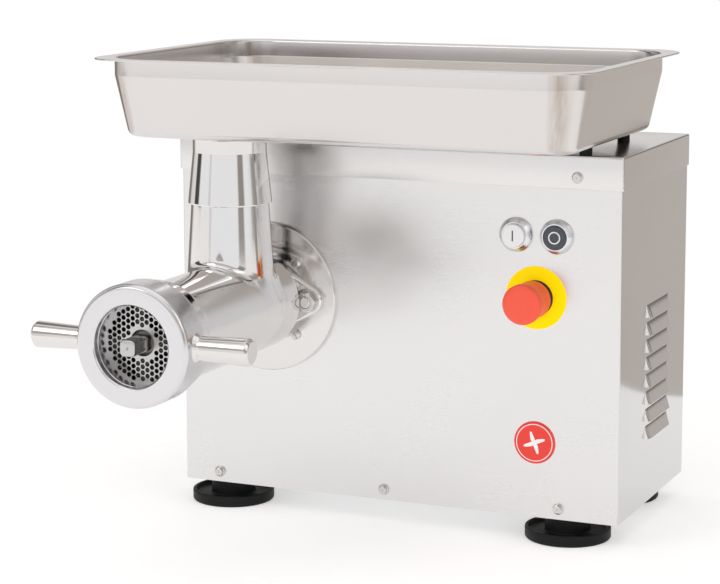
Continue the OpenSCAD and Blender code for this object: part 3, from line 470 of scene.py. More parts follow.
def plastic(
        name, color, rough, grain=900, depth=1.5e-5, coat=0.0, vary=0.06, gloss=0.5, painted_glow=0.0):
    """Moulded plastic or rubber with a fine grain. Glow is painted light: emission that brightens the
    part though it is no lamp.
    """
    mat, tree, shader = nodes_of(name)
    shader.inputs["Specular IOR Level"].default_value = gloss
    shader.inputs["Emission Color"].default_value = (*color, 1)
    shader.inputs["Emission Strength"].default_value = painted_glow
    shader.inputs["Coat Weight"].default_value = coat
    shader.inputs["Coat Roughness"].default_value = 0.08
    fine = noise(tree, (grain,) * 3, 2.0, 0.5)
    cloud = noise(tree, (25, 25, 25), 3.0, 0.5)
    tree.links.new(
        blended(tree, cloud, shade(color, 1 - vary), shade(color, 1 + vary)),
        shader.inputs["Base Color"])
    tree.links.new(spread(tree, cloud, rough * 0.85, rough * 1.2), shader.inputs["Roughness"])
    bumped(tree, shader, [(fine, depth, 0.6)])
    return mat


M = {
    # Painted shade darkens the side faces of the panel
    "panel": metal(
        "brushed_panel", (0.75, 0.745, 0.745), 0.26, (6, 6, 2200), depth=2e-7, streak=0.03,
        aniso=0.5, tangent="round", side_rough_and_shade=0.1),
    # Painted shade darkens the side faces of the lid
    "lid": metal(
        "brushed_lid", (0.75, 0.74, 0.735), 0.24, (6, 1800, 1800), depth=2e-7, streak=0.03, aniso=0.4,
        tangent="round", side_rough_and_shade=0.12),
    "cast": metal(
        "polished_casting", (0.77, 0.76, 0.755), 0.07, (60, 60, 60), depth=4e-6, streak=0.03,
        wave=5e-5),
    "disc": metal("turned_disc", (0.72, 0.705, 0.695), 0.13, (300, 60, 300), streak=0.03, wave=2e-5),
    "ring": metal(
        "satin_ring", (0.71, 0.705, 0.725), 0.24, (900, 200, 900), depth=3e-7, streak=0.02),
    "bar": metal("polished_bar", (0.74, 0.725, 0.715), 0.10, (40, 500, 500), streak=0.03),
    # Painted reflection streaks down the tray's corners, and painted shade on its floor
    "tray": metal(
        "satin_tray", (0.69, 0.67, 0.66), 0.2, (10, 10, 1500), depth=2e-7, streak=0.02, aniso=0.3,
        tangent="round", below=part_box("tray_pan")[0].z + 5 * MM, corners=True),
    "bright": metal("bright_fastener", (0.62, 0.61, 0.60), 0.13, (700, 700, 700), streak=0.06),
    "ground": metal("ground_steel", (0.55, 0.545, 0.54), 0.24, (900, 900, 900), streak=0.05),
    # Painted shade: a dark steel for the worm's journal in the hub's hole and for the nose in the gap
    # behind the ring
    "recess_shade": metal("dark_steel_painted_shade", (0.17, 0.155, 0.145), 0.28, (600, 300, 600), streak=0.08),
    "shaft": metal("turned_shaft", (0.55, 0.55, 0.55), 0.22, (300, 1500, 300), streak=0.06),
    "gear": metal("gear_steel", (0.46, 0.47, 0.49), 0.30, (700, 80, 700), streak=0.08),
    "iron": metal("cast_iron", (0.32, 0.33, 0.35), 0.55, (260, 260, 260), depth=6e-5, streak=0.12),
    "lamination": metal(
        "laminations", (0.36, 0.36, 0.37), 0.45, (40, 2200, 40), depth=2e-5, streak=0.12),
    "copper": metal(
        "enamelled_copper", (0.66, 0.33, 0.17), 0.30, (1200, 60, 1200), depth=6e-5, streak=0.15),
    "zinc": metal("zinc_plate", (0.62, 0.62, 0.58), 0.35, (120, 120, 120), streak=0.08),
    "bezel": metal("satin_bezel", (0.74, 0.75, 0.77), 0.20, (400, 400, 400), streak=0.04),
    "paint": plastic("motor_paint", (0.20, 0.22, 0.25), 0.42, 500, 4e-5, vary=0.1),
    "rubber": plastic("black_rubber", (0.008, 0.008, 0.008), 0.5, 1400, 2e-5, vary=0.3, gloss=0.2),
    "seal": plastic("seal_rubber", (0.18, 0.09, 0.06), 0.5, 1400, 2e-5, vary=0.15),
    "fibre": plastic("hard_fibre", (0.62, 0.50, 0.34), 0.6, 600, 4e-5, vary=0.15),
    "black": plastic("black_plastic", (0.02, 0.02, 0.021), 0.4, 1200, 2e-5, vary=0.2),
    "white": plastic("white_plastic", (0.93, 0.935, 0.95), 0.30, 1500, 5e-6, coat=0.3, vary=0.02),
    "dark": plastic("dark_plastic", (0.045, 0.055, 0.07), 0.30, 1500, 5e-6, coat=0.3, vary=0.1),
    # Painted light: the yellow disc glows a little to look brighter
    "yellow": plastic(
        "yellow_plastic", (1.0, 0.72, 0.0), 0.5, 900, 8e-6, vary=0.01, gloss=0.1, painted_glow=0.3),
    "red": plastic("red_plastic", (0.98, 0.10, 0.05), 0.42, 900, 8e-6, coat=0.1, vary=0.02),
    "badge": plastic(
        "badge_resin", (0.88, 0.045, 0.03), 0.25, 700, 3e-6, coat=0.4, vary=0.03, gloss=0.3),
    "relay": plastic("pale_plastic", (0.62, 0.62, 0.58), 0.45, 1000, 2e-5, vary=0.05),
}

CARRIED = {
    "panel": ("base_plate", "rear_cover"),
    "bright": ("plate_key", "foot_bolts", "panel_nuts", "gearbox_screws"),
    "ground": ("hole_plate", "knife"),
    "shaft": (
        "output_shaft", "intermediate_shaft", "rotor_shaft", "output_bearings",
        "intermediate_bearings", "motor_bearings", "estop_plunger",
    ),
    "gear": ("output_gear", "intermediate_pinion", "intermediate_gear", "motor_pinion"),
    "iron": ("gearbox_case", "gearbox_cover"),
    "paint": ("motor_frame", "motor_end_shield", "fan_cover", "terminal_box"),
    "lamination": ("stator_core", "rotor_core"),
    "copper": ("stator_windings",),
    "rubber": ("tray_rests",),
    "seal": ("output_seal",),
    "fibre": ("thrust_washer",),
    "black": ("cable_gland", "cooling_fan", "contact_blocks"),
    "relay": ("contactor",),
    "zinc": ("din_rail",),
}
for key, names in CARRIED.items():
    for node_name in names:
        NODES[node_name].data.materials.clear()
        NODES[node_name].data.materials.append(M[key])


# ---------- housing ----------

# In mm, from the panel's face, the shell's foot and the housing's middle
SHEET = 1.5
SKIRT_GAP = 3.6
LOUVRES, LOUVRE_Y, LOUVRE_Z, LOUVRE_PITCH = 8, 87, 71, 17.1
SLOT_L, SLOT_H = 72, 6.5
LOW_SCREW_XS, LOW_SCREW_Z = (-190, -10.1, 169.8), 10.5
SKIRT_SCREW_XS, SKIRT_SCREW_DROP = (-185.8, 185.8), 5.5
LID_EDGE = 60
MIDDLE_X = (LID[0].x + LID[1].x) / 2


def housing_panels():
    """Front and sides bent from one sheet, with slots under the louvres."""
    low, high = SHELL
    width = (LID[1].x - LID[0].x) / MM - SKIRT_GAP
    depth = (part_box("rear_cover")[0].y - low.y) / MM
    bend = 2.5
    half = width / 2
    flat = outline([
        (-half, depth), (-half, 0, bend), (half, 0, bend), (half, depth),
        (half - SHEET, depth), (half - SHEET, SHEET, bend - SHEET),
        (-half + SHEET, SHEET, bend - SHEET), (-half + SHEET, depth),
    ])
    points = [(MIDDLE_X + x, low.y + y, z) for z in (low.z, high.z) for x, y in flat * MM]
    n = len(flat)
    faces = grid_faces(2, n) + [tuple(reversed(range(n))), tuple(range(n, 2 * n))]
    shell = piece(
        "housing_panels", (points, faces), "housing", "brushed_housing", M["panel"], "housing_shell")
    cuts, hoods = [], []
    start = low.y + LOUVRE_Y * MM
    for side in (-1, 1):
        face = MIDDLE_X + side * half * MM
        inner, outer = sorted((face - side * 4 * MM, face + side * 2 * MM))
        for i in range(LOUVRES):
            top = low.z + (LOUVRE_Z + i * LOUVRE_PITCH) * MM
            cuts.append(block((inner, start, top - SLOT_H * MM), (outer, start + SLOT_L * MM, top)))
            hoods.append(louvre(face, side, start - 2 * MM, top + 6 * MM))
    carve(shell, joined(*cuts))
    piece(
        "louvre_hoods", joined(*hoods), "housing", "brushed_housing", M["panel"], "housing_shell",
        sharp=60)


def louvre(face, side, start, top):
    """A pressed hood: a domed scoop with rounded ends, open at its lower edge."""
    length, drop, out, wall, rise = 76, 12.2, 5, 1.1, 8
    across, down = 56, 18
    layers = []
    for inner in (0, 1):
        rows = []
        for j in range(down + 1):
            t = drop * (j / down) ** 1.3
            row = []
            for i in range(across + 1):
                s = length * (1 - math.cos(math.pi * i / across)) / 2
                share = min(min(s, length - s) / rise, 1)
                slope = (t / drop) ** 0.8
                height = out * slope * math.sqrt(1 - (1 - share) ** 2) - inner * wall
                row.append((face + side * max(height, -0.3 - inner * 0.6) * MM,
                            start + s * MM, top - t * MM))
            rows.append(row)
        layers.append(rows)
    points = [p for rows in layers for row in rows for p in row]
    cols = across + 1
    count = (down + 1) * cols
    faces = grid_faces(down + 1, cols, 0, wrap=False)
    faces += [tuple(reversed(f)) for f in grid_faces(down + 1, cols, count, wrap=False)]
    rim = [j * cols for j in range(down + 1)]
    rim += [down * cols + i for i in range(1, cols)]
    rim += [j * cols + across for j in range(down - 1, -1, -1)]
    rim += [i for i in range(across - 1, 0, -1)]
    for a, b in zip(rim, rim[1:] + rim[:1]):
        faces.append((a, b, b + count, a + count))
    return np.array(points), faces


def lid():
    """A flat top with a rounded edge and a turned-down skirt."""
    low, high = LID
    length, width = (high.x - low.x) / MM, (high.y - low.y) / MM
    tall = (high.z - low.z) / MM
    centre = foot_of(low, high)
    bend = 2.2
    path = outline([
        (0, 0, 0.4), (0, tall, bend), (LID_EDGE, tall), (LID_EDGE, tall - SHEET),
        (SHEET, tall - SHEET, bend - SHEET), (SHEET, 0, 0.4),
    ], 5)
    rings = []
    for inset, z in path:
        flat = rounded_ring(length - 2 * inset, width - 2 * inset, max(2.4 - inset, 0.5), 6)
        rings.append(placed(at_height(flat, z), "up", centre))
    points, faces = loft(rings)
    cols = len(rings[0])
    at = [i for i, (inset, z) in enumerate(path) if inset == LID_EDGE]
    faces = [f for f in faces if not {min(f) // cols, max(f) // cols} == set(at)]
    faces.append(tuple(at[0] * cols + j for j in range(cols)))
    faces.append(tuple(at[1] * cols + j for j in reversed(range(cols))))
    piece("lid_cover", (points, faces), "housing", "brushed_housing", M["lid"], "lid")
    lid_welds()


def lid_welds():
    """Dressed weld beads down the lid's four corners."""
    low, high = LID
    rng = np.random.default_rng(4)
    shapes = []
    for x, y in ((low.x, low.y), (high.x, low.y), (low.x, high.y), (high.x, high.y)):
        sx = 1 if x == high.x else -1
        sy = 1 if y == high.y else -1
        rings = []
        for i in range(25):
            z = low.z + (high.z - low.z - 1.2 * MM) * i / 24
            swell = (0.75 + 0.25 * rng.random()) * (0.4 if i in (0, 24) else 1)
            angles = np.arange(10) * TAU / 10
            r = 1.0 * swell * MM
            cx, cy = x - sx * 1.25 * MM, y - sy * 1.25 * MM
            rings.append(circle(r, angles, z) + (cx, cy, 0))
        points = np.concatenate(rings)
        faces = grid_faces(25, 10) + [tuple(reversed(range(10))), tuple(range(240, 250))]
        shapes.append((points, faces))
    piece("lid_corner_welds", joined(*shapes), "housing", "brushed_housing", M["bright"], sharp=60)


def cover_screw(axis, centre, turn):
    """A hexagon screw with a round flange, seated on its own plane."""
    flange = turned([
        (0, -1), (5.5, -1), (5.5, 0.9, 0.4), (4.4, 1.4, 0.3), (0, 1.4),
    ], axis, centre, 48, 4)
    head = hex_head(8.0, 4.1, 0.12, axis, centre, base=1.0, turn=turn, steps=96)
    return joined(flange, head)


def cover_screws():
    """The low row through the shell and the rear cover, and two in the skirt, front and back."""
    rng = np.random.default_rng(7)
    low_z = SHELL[0].z + LOW_SCREW_Z * MM
    skirt_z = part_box("cover_screws")[1].z - SKIRT_SCREW_DROP * MM
    rear_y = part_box("rear_cover")[1].y
    shapes = []
    for xs, z, front, back in (
        (LOW_SCREW_XS, low_z, PANEL_Y, rear_y), (SKIRT_SCREW_XS, skirt_z, LID[0].y, LID[1].y),
    ):
        for x in xs:
            for axis, y in (("front", front), ("back", back)):
                shapes.append(cover_screw(axis, (MIDDLE_X + x * MM, y, z), rng.random()))
    piece(
        "hexagon_cover_screws", joined(*shapes), "housing", "bright_fasteners", M["bright"],
        "cover_screws")


def rubber_feet():
    """Four wide cups that stand on a lip, each with a spacer on top."""
    low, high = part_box("rubber_feet")
    r = 41.5
    tall = (high.z - low.z) / MM
    shapes = []
    for x in (low.x + r * MM, high.x - r * MM):
        for y in (low.y + r * MM, high.y - r * MM):
            shapes.append(turned([
                (0, 3), (r - 8, 3, 1), (r - 6, 0, 0.6), (r - 1.2, 0, 0.8), (r, 1.6, 0.8),
                (r, 10.4, 0.8), (r - 1.2, 11, 0.5), (r - 3.2, 11, 0.5), (r - 5, 7, 1.2),
                (22, 7, 1.5), (22, tall), (0, tall),
            ], "up", (x, y, low.z), 96, 5))
    piece("foot_cups", joined(*shapes), "housing", "black_rubber", M["rubber"], "rubber_feet")


# ---------- controls ----------

def middle_of(node):
    low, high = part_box(node)
    return ((low.x + high.x) / 2, PANEL_Y, (low.z + high.z) / 2)


def bezel(name, node, hole):
    shape = turned([
        (hole + 0.1, -2), (16.6, -2), (16.6, 1.8, 0.7), (15.4, 4.2, 2.0), (hole + 1.6, 7.5, 1.0),
        (hole + 0.1, 7.5, 0.3),
    ], "front", middle_of(node), 96, 6)
    piece(name, shape, "housing", "silver_bezel", M["bezel"], node, sharp=40)


def cap(name, node, r, out, body, slot, material):
    shape = turned([
        (0, -6), (5, -6), (5, 5), (r, 5), (r, out, 0.9), (r - 2.2, out + 0.12, 1.5), (0, out + 0.2),
    ], "front", middle_of(node), 96, 5)
    piece(name, shape, body, slot, material, node)


def push_buttons():
    bezel("start_bezel_ring", "start_bezel", 11)
    bezel("stop_bezel_ring", "stop_bezel", 11.5)
    cap("start_cap", "start_button", 11, 11.3, "start", "white_button", M["white"])
    cap("stop_cap", "stop_button", 11.5, 8.8, "stop", "dark_button", M["dark"])
    bar = outline([(-0.65, -5.2, 0.6), (0.65, -5.2, 0.6), (0.65, 5.2, 0.6), (-0.65, 5.2, 0.6)])
    piece(
        "start_symbol", prism(bar, 11.2, 11.62, "front", middle_of("start_button"), 0.05),
        "start", "dark_button", M["dark"])
    loop = turned([
        (4.7, 8.7), (5.9, 8.7), (5.9, 9.17, 0.1), (4.7, 9.17, 0.1),
    ], "front", middle_of("stop_button"), 72, 3)
    piece("stop_symbol", loop, "stop", "white_button", M["white"])


def emergency_stop():
    centre = middle_of("estop_disc")
    disc = turned([
        (11.3, 0), (30, 0), (30, 1.2, 0.35), (11.3, 1.2),
    ], "front", centre, 128, 4)
    piece("stop_backing_disc", disc, "housing", "yellow_disc", M["yellow"], "estop_disc")
    collar = turned([
        (5.4, -10), (11.1, -10), (11.1, 1.2), (17, 1.2), (17, 3, 0.6), (14.6, 3.6, 0.4), (14.6, 9),
        (5.4, 9),
    ], "front", centre, 96, 4)
    piece("stop_collar", collar, "housing", "black_plastic", M["black"], "estop_base")
    head = turned([
        (5.1, 16), (15.3, 16), (15.3, 10), (18, 10, 0.8), (17.5, 16, 12), (17.1, 24, 14),
        (18.0, 31, 10), (19, 36, 5), (19, 42.6, 2.6), (14, 43.7, 12), (0, 44), (0, 36), (5.1, 36),
    ], "front", centre, 128, 8)
    piece(
        "stop_mushroom", head, "estop_head", "red_button", M["red"], "estop_mushroom", sharp=40)


def badge():
    """A domed red disc with a plain four-bladed cross on it."""
    centre = middle_of("badge")
    r = 20.5
    dome = turned([
        (0, 0), (r, 0), (r, 0.9, 0.4), (r - 1.6, 1.5, 1.2), (r * 0.5, 1.9, 20), (0, 1.95),
    ], "front", centre, 128, 8)
    piece("red_badge", dome, "housing", "badge_red", M["badge"], "badge")
    blade = ((0, 1.7), (3.5, 2.6), (8.5, 2.0), (11.5, 0.9), (10.5, -0.6), (6, -1.2), (2.0, -1.7))
    blades = []
    for k in range(4):
        a = k * math.pi / 2 + 0.3
        for s, w in blade:
            blades.append((s * math.cos(a) - w * math.sin(a), s * math.sin(a) + w * math.cos(a)))
    order = sorted(blades, key=lambda p: math.atan2(p[1], p[0]))
    cross = [p for p in order if math.hypot(*p) > 1.8]
    piece(
        "badge_cross", prism(cross, 1.2, 1.99, "front", centre), "housing", "white_button",
        M["white"])
    line = turned([
        (17.4, 1.0), (18.2, 1.0), (18.2, 1.62, 0.05), (17.4, 1.7, 0.05),
    ], "front", centre, 96, 3)
    piece("badge_line", line, "housing", "white_button", M["white"])


# ---------- grinding head ----------

def smooth_low(a, b, k):
    """The lower of two distances, blended over k."""
    h = np.clip(0.5 + 0.5 * (b - a) / k, 0, 1)
    return b + (a - b) * h - k * h * (1 - h)


def smooth_high(a, b, k):
    return -smooth_low(-a, -b, k)


NECK_AXIS = (PANEL_Y - NECK_Y) / MM
SKIRT_Z = (SPOUT[0].z - HEAD_Z) / MM
FLANGE = (5.0, 12.0)
BELL_FRONT = (PANEL_Y - RING[1].y) / MM - 3.0
NOSE_H = (PANEL_Y - RING[0].y) / MM - 23.2
BARREL_R, BELL_R, THREAD_R, BORE_R = 47.0, 52.0, 49.7, 39.0
SEAT_R, SHAFT_R, THROAT_R = 41.1, 20.5, 26
BELL_L = 22
THREAD_PITCH = 4
STUD_X = 49
DISC_SCREW_X, DISC_SCREW_Z = 32.4, 35.8


def slab(h, low, high):
    return np.abs(h - (low + high) / 2) - (high - low) / 2


def rounded_cylinder(radial, along, r):
    """Distance to a cylinder whose end edge is rounded by r."""
    a, b = radial + r, along + r
    return np.minimum(np.maximum(a, b), 0) + np.hypot(np.maximum(a, 0), np.maximum(b, 0)) - r


def lug_outline(x, z):
    """Distance to the flat outline of the two-lug flange."""
    big, small, reach = 36.5, 14.0, 49.0
    ax, az = np.abs(x), np.abs(z)
    lean = (big - small) / reach
    edge = math.sqrt(1 - lean * lean)
    along = ax * edge - az * lean
    line = ax * lean + az * edge - big
    near = np.hypot(x, z) - big
    far = np.hypot(ax - reach, z) - small
    return np.where(along < 0, near, np.where(along > reach * edge, far, line))


def casting_distance(x, h, z):
    """Distance to the casting's surface: x across, h in front of the panel, z above the axis."""
    radial = np.hypot(x, z)
    barrel = rounded_cylinder(radial - BARREL_R, slab(h, 21.5, BELL_FRONT), 9)
    rise = np.clip((h - (BELL_FRONT - BELL_L)) / 7, 0, 1)
    bell_r = BARREL_R - 1 + (BELL_R - BARREL_R + 1) * rise * rise * (3 - 2 * rise)
    bell = np.maximum((radial - bell_r) * 0.85, slab(h, BELL_FRONT - BELL_L, BELL_FRONT))
    waist = np.maximum(radial - 36.5, slab(h, FLANGE[0], 40))
    from_neck = np.hypot(x, h - NECK_AXIS)
    cone_r = 43.8 - 6.8 * z / SKIRT_Z
    tip_r = np.where(z > SKIRT_Z, 37 - (z - SKIRT_Z) * 0.1, cone_r)
    neck = smooth_high((from_neck - np.minimum(cone_r, tip_r)) * 0.99, slab(z, 0, 161), 2)
    flange = rounded_cylinder(lug_outline(x, z) + (h - FLANGE[0]) * 0.12, slab(h, *FLANGE), 1.4)
    solid = smooth_low(barrel, waist, 5)
    solid = smooth_low(solid, flange, 4)
    solid = smooth_low(solid, bell, 2.5)
    solid = smooth_low(solid, neck, 7)
    solid = smooth_high(solid, h - BELL_FRONT, 1.6)
    solid = smooth_high(solid, FLANGE[0] - h, 0.6)
    bore = np.maximum(radial - BORE_R, 30 - h)
    seat = np.maximum(radial - SEAT_R, 232 - h)
    shaft = radial - SHAFT_R
    throat = np.maximum(from_neck - THROAT_R, -z)
    hollow = np.minimum(np.minimum(bore, seat), shaft)
    hollow = smooth_low(hollow, throat, 1.5)
    return smooth_high(solid, -hollow, 1.2)


def surface(distance, low, high, step):
    """A quad mesh of the zero level, one point to each crossed cell, settled on the surface."""
    axes = [np.arange(a, b + step, step) for a, b in zip(low, high)]
    field = distance(*np.meshgrid(*axes, indexing="ij")).astype(np.float32)
    inside = field < 0
    cells = np.zeros([n - 1 for n in field.shape], np.int32)
    total = np.zeros((*cells.shape, 3), np.float32)
    corner = [slice(None, -1), slice(1, None)]
    for axis in range(3):
        others = [a for a in range(3) if a != axis]
        for p in (0, 1):
            for q in (0, 1):
                a, b = [None] * 3, [None] * 3
                a[axis], b[axis] = corner[0], corner[1]
                a[others[0]] = b[others[0]] = corner[p]
                a[others[1]] = b[others[1]] = corner[q]
                fa, fb = field[tuple(a)], field[tuple(b)]
                hit = (fa < 0) != (fb < 0)
                cells += hit
                share = np.where(hit, fa / np.where(hit, fa - fb, 1), 0)
                total[..., axis] += share
                total[..., others[0]] += hit * p
                total[..., others[1]] += hit * q
    used = cells > 0
    index = np.full(cells.shape, -1, np.int64)
    index[used] = np.arange(used.sum())
    where = np.argwhere(used)
    points = np.array(low) + (where + total[used] / cells[used][:, None]) * step
    for _ in range(4):
        points = settle(distance, points, step * 0.5)
    faces = []
    for axis in range(3):
        o1, o2 = [a for a in range(3) if a != axis]
        lower = [slice(1, -1)] * 3
        upper = [slice(1, -1)] * 3
        lower[axis], upper[axis] = slice(0, -1), slice(1, None)
        flip = inside[tuple(lower)] != inside[tuple(upper)]
        at = np.argwhere(flip)
        at[:, o1] += 1
        at[:, o2] += 1
        quad = []
        for d1, d2 in ((-1, -1), (0, -1), (0, 0), (-1, 0)):
            c = at.copy()
            c[:, o1] += d1
            c[:, o2] += d2
            quad.append(index[c[:, 0], c[:, 1], c[:, 2]])
        faces.append(np.stack(quad, 1))
    return points, np.concatenate(faces)


def gradient(distance, points, step=0.02):
    out = np.zeros_like(points)
    for axis in range(3):
        shift = np.zeros(3)
        shift[axis] = step
        ahead, behind = points + shift, points - shift
        out[:, axis] = (distance(*ahead.T) - distance(*behind.T)) / (2 * step)
    return out


def settle(distance, points, limit):
    slope = gradient(distance, points)
    size = (slope ** 2).sum(1)
    move = (distance(*points.T) / np.maximum(size, 0.05))[:, None] * slope
    reach = np.linalg.norm(move, axis=1, keepdims=True)
    return points - move * np.minimum(1, limit / np.maximum(reach, 1e-9))


def head_casting():
    """The polished casting, and the threaded nose in front of its bell."""
    points, quads = surface(casting_distance, (-66, 2, -55), (66, BELL_FRONT + 3, 164), 1.5)
    swapped = points[:, [0, 2, 1]]
    shape = (placed(swapped, "front", HEAD), [tuple(int(i) for i in q) for q in quads])
    piece("cast_head", shape, "housing", "polished_head", M["cast"], "head_casting", sharp=50)
    crests = []
    for i in range(int((NOSE_H - BELL_FRONT - 2) / THREAD_PITCH)):
        start = BELL_FRONT + 1.5 + THREAD_PITCH * i
        crests += [
            (THREAD_R - 1.2, start, 0.2), (THREAD_R, start + 1.2, 0.3), (THREAD_R, start + 2, 0.3),
            (THREAD_R - 1.2, start + 3.2, 0.2),
        ]
    nose = turned([
        (SEAT_R, BELL_FRONT - 6), (THREAD_R - 2, BELL_FRONT - 6), *crests,
        (THREAD_R - 1.5, NOSE_H, 0.6), (SEAT_R, NOSE_H, 0.4),
    ], "front", HEAD, 128, 3)
    # Painted shade: the nose is dark steel so that it reads as the gap behind the ring
    piece(
        "threaded_nose", nose, "housing", "polished_head", M["recess_shade"], "head_casting", sharp=40)


def mounting_disc():
    disc = turned([
        (31, 0), (74, 0), (74, 5, 1.5), (31, 5),
    ], "front", HEAD, 160, 6)
    piece("round_mounting_disc", disc, "housing", "polished_head", M["disc"], "mounting_disc")


def disc_screws():
    shapes, cuts = [], []
    for sx, sz in ((-1, -1), (1, -1), (-1, 1), (1, 1)):
        centre = (HEAD_X + sx * DISC_SCREW_X * MM, PANEL_Y, HEAD_Z + sz * DISC_SCREW_Z * MM)
        shapes.append(turned([
            (0, 2), (5, 2), (5, 6.8, 0.5), (3.4, 8, 2.0), (0, 8),
        ], "front", centre, 64, 5))
        a = math.radians(52 if sx == sz else 118)
        along, across = np.array([math.cos(a), math.sin(a)]), np.array([-math.sin(a), math.cos(a)])
        flat = [s * 6 * along + t * 0.65 * across for s, t in ((-1, -1), (1, -1), (1, 1), (-1, 1))]
        cuts.append(prism(flat, 6.7, 9, "front", centre))
    screws = piece(
        "slotted_screws", joined(*shapes), "housing", "bright_fasteners", M["bright"], "disc_screws")
    carve(screws, joined(*cuts))


def studs_and_nuts():
    nuts, studs = [], []
    for x, turn in ((-STUD_X, 0.2), (STUD_X, 0.62)):
        centre = (HEAD_X + x * MM, PANEL_Y, HEAD_Z)
        nuts.append(turned([
            (6.1, 12), (11.5, 12), (11.5, 13.4, 0.4), (6.1, 13.4),
        ], "front", centre, 72, 4))
        nuts.append(hex_head(19, 21.8, 0.06, "front", centre, base=13.4, bore=6.1, turn=turn))
        studs.append(turned([
            (0, 4), (6, 4), (6, 21.4), (5.2, 22.4, 0.4), (4.2, 22.6, 0.2), (0, 22.3),
        ], "front", centre, 64, 4))
    piece("hexagon_head_nuts", joined(*nuts), "housing", "bright_fasteners", M["bright"], "head_nuts")
    piece("stud_ends", joined(*studs), "housing", "bright_fasteners", M["bright"], "head_studs")


def ring_nut():
    """The ring, with the step that holds the plate, and its two bar handles."""
    r = (RING[1].z - RING[0].z) / 2 / MM
    front = (PANEL_Y - RING[0].y) / MM
    back = (PANEL_Y - RING[1].y) / MM
    face = (PANEL_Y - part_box("hole_plate")[0].y) / MM
    ring = turned([
        (THREAD_R + 0.4, back, 0.4), (r - 0.6, back, 0.8), (r, back + 3, 2), (r, front - 3.2, 5),
        (r - 3.4, front, 3.0), (38.4, front, 1.2), (37, front - 1.6, 0.6), (37, front - 6.2, 0.3),
        (37.6, front - 6.8, 0.2), (37.6, front - 8.2, 0.2), (37, front - 8.8, 0.3), (37, face),
        (THREAD_R + 0.4, face),
    ], "front", HEAD, 192, 7)
    piece("ring_nut_body", ring, "ring", "polished_head", M["ring"], "ring_nut")
    low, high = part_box("ring_handles")
    y = (low.y + high.y) / 2
    reach = (high.x - low.x) / 2 / MM
    bars = []
    for side in ("left", "right"):
        bars.append(turned([
            (0, r - 5), (8, r - 5), (13.4, r - 2.2), (12.2, r + 0.4, 1.0), (10.9, r + 3.2, 3),
            (10.9, r + 6, 10), (12.3, reach - 3, 1.2), (10.4, reach - 0.6, 0.8),
            (9.6, reach, 0.6), (0, reach),
        ], side, (HEAD_X, y, HEAD_Z), 96, 7))
    piece("handle_bars", joined(*bars), "ring", "polished_head", M["bar"], "ring_handles")


def worm_stud():
    """The worm's front journal, turning in the plate's hub, with its square end and centre mark."""
    low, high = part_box("worm_stud")
    tip = (PANEL_Y - low.y) / MM
    face = (PANEL_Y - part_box("hole_plate")[0].y) / MM
    back = (PANEL_Y - high.y) / MM
    square = rounded_ring(15, 15, 4.2, 8)
    levels = [(1, face - 6), (1, tip - 1.2), (0.93, tip - 0.25), (0.88, tip - 0.05)]
    rings = [at_height(square * s, h) for s, h in levels]
    way = np.array([unit(p) for p in square])
    for r, h in ((3.0, tip - 0.05), (1.6, tip - 0.1), (1.2, tip - 0.5), (0.25, tip - 1.4)):
        rings.append(at_height(way * r, h))
    n = len(square)
    last = (len(rings) - 1) * n
    faces = grid_faces(len(rings), n) + [tuple(reversed(range(n))), tuple(range(last, last + n))]
    end = (placed(np.concatenate(rings), "front", HEAD), faces)
    journal = turned([
        (0, back), (8, back), (8, face - 25), (12.1, face - 25), (12.1, face - 4.4, 0.8),
        (9.2, face - 3.6, 0.5), (0, face - 3.6),
    ], "front", HEAD, 96, 4)
    piece("worm_end_square", end, "drive", "ground_steel", M["ground"], "worm_stud", sharp=40)
    # Painted shade: the journal is dark steel to darken the hub's hole
    piece("worm_journal", journal, "drive", "ground_steel", M["recess_shade"], "worm_stud", sharp=40)


def worm():
    """A core with one flight that turns as it runs along, rounded into the core."""
    low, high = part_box("worm")
    start, end = (PANEL_Y - high.y) / MM, (PANEL_Y - low.y) / MM
    pitch, core, tip = 50, 16, 38.2
    steps, slices = 120, 170
    rings = []
    angles = np.arange(steps) * TAU / steps
    away = np.abs((angles + math.pi) % TAU - math.pi)
    share = np.clip((math.radians(46) - away) / math.radians(24), 0, 1)
    r = core + (tip - core) * share * share * (3 - 2 * share)
    for i in range(slices + 1):
        h = start + (end - start) * i / slices
        rings.append(circle(r, angles + TAU * (h - start) / pitch, h))
    points = np.concatenate(rings)
    faces = grid_faces(slices + 1, steps)
    faces += [tuple(reversed(range(steps))), tuple(range(slices * steps, (slices + 1) * steps))]
    piece(
        "worm_flight", (placed(points, "front", HEAD), faces), "drive", "ground_steel", M["ground"],
        "worm", sharp=50)


# ---------- tray ----------

